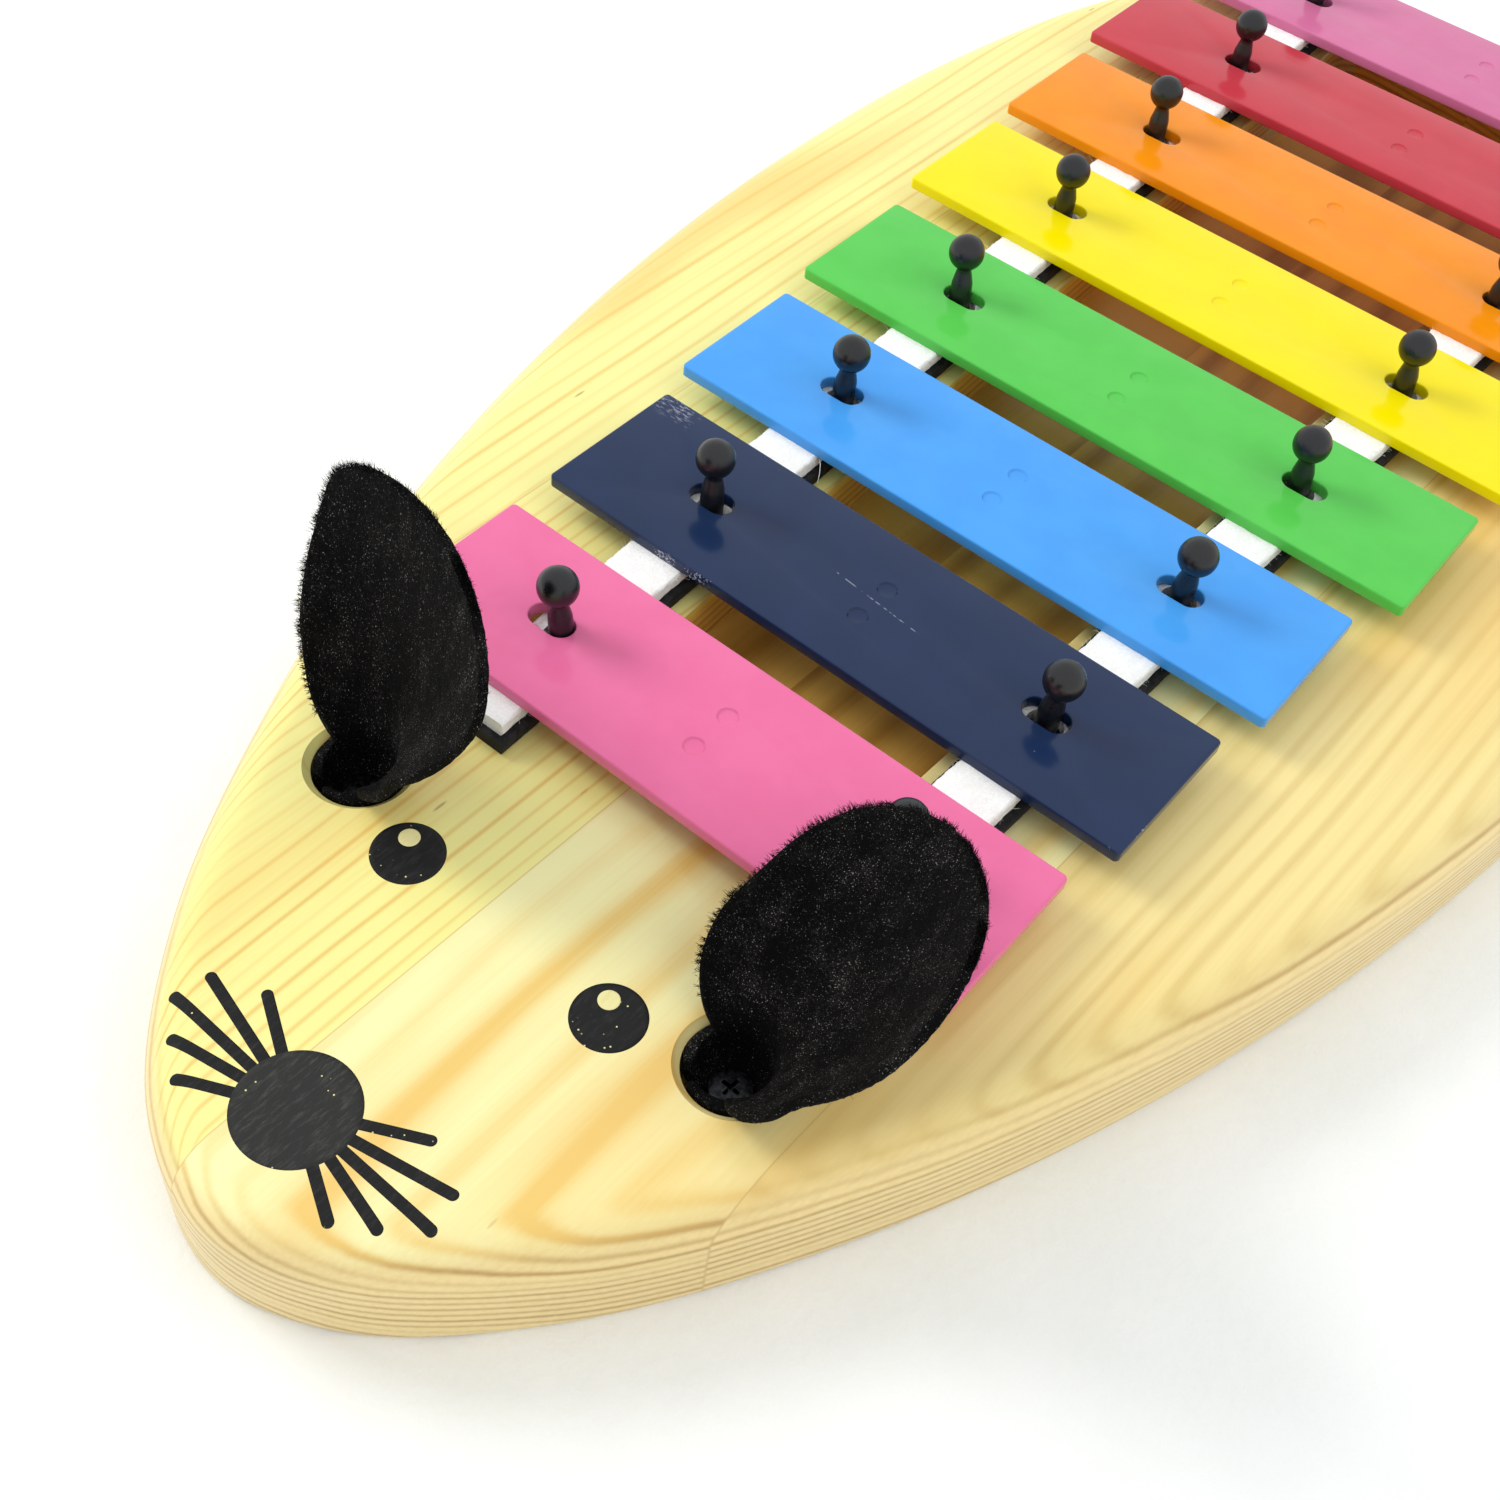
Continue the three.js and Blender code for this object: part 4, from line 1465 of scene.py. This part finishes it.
    def build(self) -> None:
        """Builds the strips of both rails and their fibres."""
        layout = self.layout
        rubber, felt = Rubber().material(), Felt().material()
        front, rear = self.ends()
        pegs = Pegs(layout)
        for side in Side:
            holes, wide_holes = ([pegs.hole(index, side, clearance) for index in range(layout.bar_count)]
                                 for clearance in (pegs.hole_clearance, pegs.felt_clearance))
            base = new_piece(f"rubber_{side.word}", self.strip(
                side, layout.rubber_width, (front - self.rubber_extra, rear + self.rubber_extra),
                layout.board_top, layout.felt_bottom, self.rubber_rough, 0))
            carve(base, holes)
            outfit(base, rubber, "body", "rubber", f"rubber_strip_{side.word}")
            pad = new_piece(f"felt_{side.word}", self.strip(
                side, self.felt_width, (front, rear), layout.felt_bottom, layout.bar_bottom,
                self.felt_rough, self.swell))
            carve(pad, wide_holes)
            outfit(pad, felt, "body", "felt", f"felt_strip_{side.word}")
            fuzz = new_piece(f"felt_fuzz_{side.word}", self.felt_fuzz(side, layout.bar_bottom))
            outfit(fuzz, felt, "body", "felt")


@dataclass
class Bars:
    """The eight painted metal bars."""

    layout: Layout
    shortest: float = 92.0
    longest: float = 124.6
    corner_radius: float = 0.7
    corner_steps: int = 8
    edge_ease: float = 0.3
    ease_steps: int = 4
    slot_length: float = 7.0
    slot_width: float = 4.0
    slot_ease: float = 0.25
    slot_end_steps: int = 14
    slot_end_straight: float = 0.001
    dimple_radius: float = 1.5
    dimple_wall: float = 0.25
    dimple_floor_radius: float = 1.25
    dimple_depth: float = 0.45
    dimple_flare: float = 0.2
    dimple_spacing: float = 6.6
    dimple_sides: int = 40
    overrun: float = 1.0
    # How each loose bar lies in its place: to the right, to the tail, turned in degrees, and how much
    # longer it is cut
    own: tuple = (
        (-1.6, -0.1, -0.25, 0), (-0.25, 0.1, -0.45, -1.5), (-0.2, -0.15, 0, -1.0), (0.95, -0.25, 0.05, 0.4),
        (0.4, 0.25, -0.3, 0), (1.3, -0.3, 0, 0), (0.8, -0.3, 0, 0), (0, 0, 0, 0),
    )
    smooth_angle: float = 28.0
    usual_chipping: float = 0.08
    chipping: dict = field(default_factory=lambda: {Paint.NAVY: 0.33, Paint.RED: 0.16, Paint.GREEN: 0.13})

    def length(self, index: int) -> float:
        """A bar's length, the shortest by the nose."""
        share = index / (self.layout.bar_count - 1)
        return self.shortest + (self.longest - self.shortest) * share + self.own[index][3]

    def set_down(self, index: int, surface: Surface) -> Surface:
        """A surface of a bar, given about the bar's middle, turned and moved to where that bar lies.

        Args:
            index: the bar, the first one by the nose.
            surface: the surface.

        Returns:
            The surface in the model's frame.
        """
        right, back, turn, _ = self.own[index]
        place = np.array([right, self.layout.bar_y(index) + back, 0])
        return self.layout.laid(surface.placed(turn_about_z(turn), place))

    def plate(self, index: int) -> Surface:
        """The bare plate.

        Args:
            index: the bar, the first one by the nose.

        Returns:
            A rounded rectangle with both edges eased by quarter circles.
        """
        layout, ease, steps = self.layout, self.edge_ease, self.ease_steps
        outline = rounded_outline(self.length(index) / 2, layout.bar_width / 2, self.corner_radius,
                                  self.corner_steps)
        rings = edge_rings(outline, layout.bar_bottom, ease, steps, foot=True)
        rings += edge_rings(outline, layout.bar_top, ease, steps)
        return self.set_down(index, stacked(np.array(rings)))

    def slot(self, index: int, side: Side) -> Surface:
        """A slot's cutter.

        Args:
            index: the bar, the first one by the nose.
            side: the board's side.

        Returns:
            A long hole, flared by a quarter circle at both faces of the bar.
        """
        bottom, top, ease = self.layout.bar_bottom, self.layout.bar_top, self.slot_ease
        middle = np.array([self.layout.rail_x(side, self.layout.bar_y(index)), 0])
        radius, steps = self.slot_width / 2, self.ease_steps
        outline = middle + rounded_outline(self.slot_length / 2, radius, radius - self.slot_end_straight,
                                           self.slot_end_steps)
        wide = drawn_in(outline, -ease)
        rings = [at_height(wide, bottom - self.overrun), *edge_rings(outline, bottom, ease, steps, True, -1),
                 *edge_rings(outline, top, ease, steps, way=-1), at_height(wide, top + self.overrun)]
        return self.set_down(index, stacked(np.array(rings)))

    def dimple(self, index: int, way: int) -> Surface:
        """A drilled dimple's cutter.

        Args:
            index: the bar, the first one by the nose.
            way: 1 for the dimple nearer the tail, -1 for the other.

        Returns:
            A flat cone on its tip, with a steep wall above it.
        """
        top, over = self.layout.bar_top, self.layout.bar_top + self.overrun
        profile = np.array([
            (0, top - self.dimple_depth), (self.dimple_floor_radius, top - self.dimple_wall),
            (self.dimple_radius, top), (self.dimple_radius + self.dimple_flare, over), (0, over),
        ])
        place = np.array([0, way * self.dimple_spacing / 2, 0])
        return self.set_down(index, lathed(profile, self.dimple_sides).placed(np.eye(3), place))

    def build(self) -> None:
        """Builds and paints the bars."""
        layout = self.layout
        for index, paint in enumerate(Paint):
            number = layout.node(index)
            piece = new_piece(f"plate_{number}", self.plate(index))
            carve(piece, [*(self.slot(index, side) for side in Side),
                          *(self.dimple(index, way) for way in (-1, 1))], self.smooth_angle)
            middle = self.set_down(index, Surface(np.zeros((1, 3)), [])).points[0]
            enamel = Enamel(paint.slot, paint.colour, (middle[0], middle[1]),
                            turn=layout.turn + self.own[index][2], half_length=self.length(index) / 2,
                            half_width=layout.bar_width / 2,
                            chipping=self.chipping.get(paint, self.usual_chipping),
                            scuffed=paint is Paint.NAVY)
            outfit(piece, enamel.material(), f"bar_{number}", paint.slot, f"bar_{number}")


@dataclass(frozen=True)
class EarPose:
    """One ear: its length, half width and where that is as a share of the length, how the roll opens, how
    the ear stands in degrees, and how far its sheet sits to the right.
    """

    length: float
    half_width: float
    widest: float
    open_radius: float
    tip_radius: float
    open_height: float
    back: float
    right: float
    turn: float
    twist: float
    skew: float


@dataclass
class Ears:
    """The two leather ears, rolled into their holes, and the screws that hold them."""

    layout: Layout
    thickness: float = 1.24
    cup_radius: float = 5.3
    cup_drop: float = 5.2
    cup_middle: float = -2.6
    cup_opening: float = 16.0
    cup_half_turn: float = 168.0
    cup_wall_start: float = 0.6
    neck_depth: float = 0.9
    mouth_half_width: float = 12.5
    bend_share: float = 0.45
    half_turn: float = 160.0
    cup_rows: int = 40
    leaf_rows: int = 110
    columns: int = 120
    smooth_angle: float = 60.0
    tip_reach: float = 0.9995
    rim: float = 0.5
    rim_fullness: float = 0.08
    nap: float = 0.07
    nap_cells: tuple = (0.8, 0.4)
    hair_count: int = 4800
    clump_count: int = 420
    hair_radius: float = 0.04
    # Shares of the hairs at the edges, of their clumps on the left edge, and of the leaf below the top
    edge_share: float = 0.7
    left_share: float = 0.6
    top_share: float = 0.85
    # Least and greatest lengths of a clump at the edges and of a hair on the faces
    clump_lengths: tuple = (0.2, 0.6)
    face_lengths: tuple = (0.1, 0.3)
    clump_spread: float = 0.45
    hair_spread: float = 0.18
    hair_curl: float = 0.12
    # Rows between the hairs and the cup, and between them and the tip
    hair_free_rows: tuple = (6, 3)
    face_margin: int = 8
    inward_columns: int = 6
    # Where on the sheet the hairs start to rise and rise fully, and how much
    rise_shares: tuple = (0.6, 0.98)
    rise_at_tip: float = 0.9
    face_outward: float = 0.6
    face_upward: float = 0.3
    # Depths of the roots at the edges and on the faces, in thicknesses
    root_shares: tuple = (0.2, 0.45)
    area_steps: int = 400
    blend_height: float = 9.0
    screw_head_radius: float = 2.6
    screw_head_height: float = 1.4
    screw_shank_radius: float = 1.2
    screw_seat: float = -6.85
    screw_depth: float = 5.5
    screw_rim: float = 0.1
    screw_crown: float = 0.16
    screw_sides: int = 48
    cross_half: tuple = (1.5, 0.32)
    cross_corner: float = 0.05
    # Share of the cross's size and height above the head's edge, at its lower and its upper end
    cross_taper: tuple = ((0.5, -0.8), (1.0, 0.6))
    poses: dict = field(default_factory=lambda: {
        Side.LEFT: EarPose(length=39.2, half_width=20.3, widest=0.751, open_radius=14.1, tip_radius=60.0,
                           open_height=11.4, back=8.9, right=5.8, turn=-22.5, twist=3.8, skew=-0.70),
        Side.RIGHT: EarPose(length=38.1, half_width=19.2, widest=0.622, open_radius=14.6, tip_radius=49.0,
                            open_height=10.6, back=28.9, right=0.9, turn=-40.9, twist=-19.3, skew=-3.22),
    })

    def angle(self, distance: Array, radius: Array | float) -> Array:
        """Where a point of the sheet lies about the roll: limit tanh(distance / radius / limit)."""
        limit = math.radians(self.half_turn)
        return limit * np.tanh(distance / radius / limit)

    def half_width_at(self, pose: EarPose, share: Array) -> Array:
        """Half the leaf's width, an egg's outline about its widest place.

        Args:
            pose: how the ear stands.
            share: height as a share of the ear's length.

        Returns:
            w - (w - mouth) d d below the widest place and w sqrt(1 - d d) above it, with d the distance
            to it as a share of what lies there.
        """
        below = np.clip((pose.widest - share) / pose.widest, 0, None)
        above = np.clip((share - pose.widest) / (1 - pose.widest), 0, 1)
        low = pose.half_width - (pose.half_width - self.mouth_half_width) * below**2
        return np.where(share < pose.widest, low, pose.half_width * np.sqrt(1 - above**2))

    def leaf(self, pose: EarPose, share: Array, across: Array) -> Array:
        """Points of the leaf above the hole: a roll whose radius grows with height, then bent.

        Args:
            pose: how the ear stands.
            share: height as a share of the ear's length.
            across: from -1 at one edge to 1 at the other.

        Returns:
            (R sin a, cup - R + R cos a, h), twisted about Z, then turned back and to the right.
        """
        height = share * pose.length
        radius = (self.cup_radius
                  + (pose.open_radius - self.cup_radius) * smooth_between(height, 0, pose.open_height)
                  + (pose.tip_radius - pose.open_radius)
                  * smooth_between(height, pose.open_height, pose.length))
        distance = across * self.half_width_at(pose, share) + pose.skew * np.sin(np.pi * share)
        angle = self.angle(distance, radius)
        points = np.stack([radius * np.sin(angle), self.cup_radius - radius + radius * np.cos(angle),
                           height + 0 * angle], axis=-1)
        bend = smooth_between(height, 0, self.bend_share * pose.length)
        twist = smooth_between(height, 0, pose.length)
        points = turned(points, np.array([0, 0, 1]), math.radians(pose.twist) * twist)
        points = turned(points, np.array([1, 0, 0]), -math.radians(pose.back) * bend)
        return turned(points, np.array([0, 1, 0]), math.radians(pose.right) * bend)

    def cup(self, share: Array, across: Array) -> Array:
        """Points of the cup in the hole: a round bottom about the screw, then a wall up to the mouth.

        Args:
            share: from 0 at the screw to 1 at the mouth.
            across: from -1 at one edge to 1 at the other.

        Returns:
            (R sin p sin a, R sin p cos a, middle - drop cos p) and the wall above, where the wrap's half
            turn narrows near the mouth to the leaf's.
        """
        opening, wall = math.radians(self.cup_opening), self.cup_wall_start
        polar = opening + (math.pi / 2 - opening) * np.minimum(share / wall, 1)
        rise = np.clip((share - wall) / (1 - wall), 0, 1) * -self.cup_middle
        height = self.cup_middle - self.cup_drop * np.cos(polar) + rise
        leaf = self.angle(across * self.mouth_half_width, self.cup_radius)
        share_of_leaf = smooth_between(height, -self.neck_depth, 0)
        angle = math.radians(self.cup_half_turn) * across * (1 - share_of_leaf) + leaf * share_of_leaf
        radius = self.cup_radius * np.sin(polar)
        return np.stack([radius * np.sin(angle), radius * np.cos(angle), height + 0 * angle], axis=-1)

    def grid(self, pose: EarPose) -> tuple[Array, Array]:
        """The sheet's middle surface.

        Args:
            pose: how the ear stands.

        Returns:
            Its points, and for each point how full its thickness is there.
        """
        across = np.sin(np.linspace(-np.pi / 2, np.pi / 2, self.columns))[None]
        low = np.linspace(0, 1, self.cup_rows, endpoint=False)[:, None]
        high = np.sin(np.linspace(0, np.pi / 2, self.leaf_rows))[:, None] * self.tip_reach
        points = np.concatenate([self.cup(low, across), self.leaf(pose, high, across)])
        width = np.concatenate([np.full_like(low, self.mouth_half_width), self.half_width_at(pose, high)])
        inside = np.minimum(width * (1 - np.abs(across)) / self.rim, 1)
        return points, np.sqrt(1 - (1 - inside) ** 2) * (1 - self.rim_fullness) + self.rim_fullness

    def shell(self, side: Side) -> tuple[Surface, Array, Array]:
        """An ear's sheet in the model's frame.

        Args:
            side: the board's side.

        Returns:
            The closed sheet, its middle surface and its normals.
        """
        pose = self.poses[side]
        points, full = self.grid(pose)
        layout = self.layout
        points = points @ turn_about_z(pose.turn).T + layout.ear_place(side)
        points[..., 2] += layout.board_top
        normal = np.cross(np.gradient(points, axis=1), np.gradient(points, axis=0))
        normal /= np.linalg.norm(normal, axis=-1, keepdims=True)
        flat = points.reshape(-1, 3)
        wide, fine = self.nap_cells
        rough = lattice_noise(flat, wide, SEED) + 0.7 * lattice_noise(flat, fine, SEED + 1)
        rough = rough.reshape(points.shape[:2])[..., None] * self.nap
        half = full[..., None] * self.thickness / 2
        return sheet_solid(points + normal * (half + rough), points - normal * (half - rough)), points, normal

    def fuzz(self, points: Array, normal: Array, seed: int) -> Surface:
        """The nap's longest fibres: clumps that point outwards along the left edge and the top, and
        single ones over both faces.

        Args:
            points: the sheet's middle surface.
            normal: its normals.
            seed: seed of the random numbers.

        Returns:
            The fibres.
        """
        random = np.random.default_rng(seed)
        rows, columns = points.shape[:2]
        low, high = self.cup_rows + self.hair_free_rows[0], rows - self.hair_free_rows[1]
        top_row = self.cup_rows + int(self.top_share * self.leaf_rows)
        clump_left = random.random(self.clump_count) < self.left_share
        clump_row = np.where(clump_left, random.integers(low, high, self.clump_count),
                             random.integers(top_row, high, self.clump_count))
        clump = random.integers(0, self.clump_count, self.hair_count)
        at_edge = random.random(self.hair_count) < self.edge_share
        row = np.clip(clump_row[clump] + random.integers(-1, 2, self.hair_count), low, high)
        row = np.where(at_edge, row, random.integers(low, high, self.hair_count))
        edge = np.where(clump_left[clump], 1, columns - 2)
        on_face = random.integers(self.face_margin, columns - self.face_margin, self.hair_count)
        column = np.where(at_edge, edge, on_face)
        inner = column + np.where(column < columns / 2, 1, -1) * self.inward_columns
        start, face = points[row, column], random.choice([-1, 1], self.hair_count)[:, None]
        outward = start - points[row, inner]
        outward /= np.linalg.norm(outward, axis=1, keepdims=True)
        rise = smooth_between(row[:, None] / rows, *self.rise_shares) * [0, 0, self.rise_at_tip]
        way = outward + rise + random.normal(0, self.clump_spread, (self.clump_count, 3))[clump]
        from_face = normal[row, column] * face * self.face_outward + [0, 0, self.face_upward]
        way = np.where(at_edge[:, None], way, from_face)
        way += random.normal(0, self.hair_spread, start.shape)
        long = random.uniform(*self.clump_lengths, self.clump_count)[clump]
        long = long * random.uniform(0.6, 1.0, self.hair_count)
        long = np.where(at_edge, long, random.uniform(*self.face_lengths, self.hair_count))
        depth = np.where(at_edge[:, None], *self.root_shares)
        roots = start + normal[row, column] * face * self.thickness * depth
        roots += random.normal(0, self.hair_curl, start.shape) * at_edge[:, None]
        curls = random.normal(0, self.hair_curl, start.shape)
        return hairs(roots, way * long[:, None], curls, self.hair_radius)

    def screw(self, side: Side) -> Piece:
        """Makes a countersunk screw with a cross recess.

        Args:
            side: the board's side.

        Returns:
            The screw.
        """
        layout = self.layout
        seat = layout.board_top + self.screw_seat
        top, tip = seat + self.screw_head_height, layout.board_top - layout.ear_hole_depth - self.screw_depth
        head, shank = self.screw_head_radius, self.screw_shank_radius
        rim, crown = self.screw_rim, self.screw_crown
        profile = np.array([(0, tip), (shank, tip + shank), (shank, seat), (head - rim, top - rim),
                            (head, top), (head - 5 * rim, top + 0.75 * crown), (0, top + crown)])
        place = layout.ear_place(side)
        piece = new_piece(f"screw_{side.word}", lathed(profile, self.screw_sides).placed(np.eye(3), place))
        for half in (self.cross_half, self.cross_half[::-1]):
            taper = [at_height(rounded_outline(half[0] * share, half[1] * share, self.cross_corner, 2),
                               top + rise) for share, rise in self.cross_taper]
            carve(piece, [stacked(np.array(taper)).placed(np.eye(3), place)])
        return piece

    def build(self) -> None:
        """Builds the ears, their longest fibres and their screws."""
        layout = self.layout
        leather, steel = SplitLeather().material(), Zinc().material()
        for side in Side:
            shell, points, normal = self.shell(side)
            fuzz = self.fuzz(points, normal, SEED + 5 + side.value)
            ear = new_piece(f"leather_ear_{side.word}", shell, self.smooth_angle)
            nap = new_piece(f"ear_nap_{side.word}", fuzz, self.smooth_angle)
            place = tuple(layout.ear_place(side)[:2] * MM)
            for piece in (ear, nap):
                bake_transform(piece)
            outfit(ear, leather, None, "ear_leather", f"ear_{side.word}")
            outfit(nap, leather, None, "ear_leather")
            outfit(self.screw(side), steel, "body", "screw_steel", f"ear_screw_{side.word}")


# The studio


@dataclass(frozen=True)
class Camera:
    """The photograph's camera: its place, its turn and its focal length in pixels of the photograph."""

    place: tuple = (88.99, -204.76, 205.07)
    azimuth: float = 34.30
    elevation: float = 50.33
    roll: float = -8.15
    focal_pixels: float = 1891.3
    image_pixels: float = 1500.0
    sensor: float = 36.0
    clip_start: float = 0.01

    def build(self) -> None:
        """Makes the camera: its three axes from the azimuth, the elevation and the roll."""
        azimuth, elevation, roll = (math.radians(a) for a in (self.azimuth, self.elevation, self.roll))
        ahead = np.array([-math.sin(azimuth) * math.cos(elevation), math.cos(azimuth) * math.cos(elevation),
                          -math.sin(elevation)])
        level = np.cross(ahead, [0, 0, 1.0])
        level /= np.linalg.norm(level)
        upright = np.cross(level, ahead)
        up = math.cos(roll) * upright + math.sin(roll) * level
        right = np.cross(ahead, up)
        data = bpy.data.cameras.new("camera")
        data.sensor_width, data.lens = self.sensor, self.focal_pixels / self.image_pixels * self.sensor
        data.clip_start = self.clip_start
        camera = bpy.data.objects.new("camera", data)
        bpy.context.scene.collection.objects.link(camera)
        turn = np.eye(4)
        turn[:3, :3] = np.column_stack([right, up, -ahead])
        turn[:3, 3] = np.array(self.place) * MM
        camera.matrix_world = Matrix(turn)
        bpy.context.scene.camera = camera


@dataclass(frozen=True)
class Studio:
    """Plain soft light on a pale table."""

    table_half: float = 3000.0
    sky: Colour = (250, 252, 255)
    sky_strength: float = 0.98
    # Name, place, size and power of each soft lamp, aimed at the board
    lamps: tuple = (
        ("key", (-761.0, -243.0, 602.0), 420.0, 4.4),
        ("right", (620.0, 60.0, 640.0), 700.0, 1.3),
    )

    def build(self) -> None:
        """Makes the table, the sky and the lamps."""
        half = self.table_half
        corners = np.array([[-half, -half, 0], [half, -half, 0], [half, half, 0], [-half, half, 0]])
        table = new_piece("table", Surface(corners, [np.array([[0, 1, 2, 3]])]))
        outfit(table, Paper().material(), None, None)
        world = bpy.data.worlds.new("sky")
        world.use_nodes = True
        background = world.node_tree.nodes["Background"]
        background.inputs["Color"].default_value = linear(self.sky)
        background.inputs["Strength"].default_value = self.sky_strength
        scene = bpy.context.scene
        scene.world = world
        for name, place, size, power in self.lamps:
            data = bpy.data.lights.new(name, "AREA")
            data.shape, data.size, data.energy = "DISK", size * MM, power
            lamp = bpy.data.objects.new(name, data)
            lamp.visible_glossy = False
            scene.collection.objects.link(lamp)
            turn = np.eye(4)
            turn[:3, :3] = toward(np.array(place))
            turn[:3, 3] = np.array(place) * MM
            lamp.matrix_world = Matrix(turn)
        scene.view_settings.view_transform = "Standard"
        scene.view_settings.look = "None"


def main() -> None:
    """Builds the glockenspiel and its studio."""
    logging.basicConfig(level=logging.INFO, format="%(message)s")
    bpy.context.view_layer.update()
    layout = Layout()
    for part in (Board(layout), Rails(layout), Bars(layout), Pegs(layout), Ears(layout)):
        log.info("building %s", type(part).__name__)
        part.build()
    Studio().build()
    Camera().build()


if __name__ == "__main__":
    main()
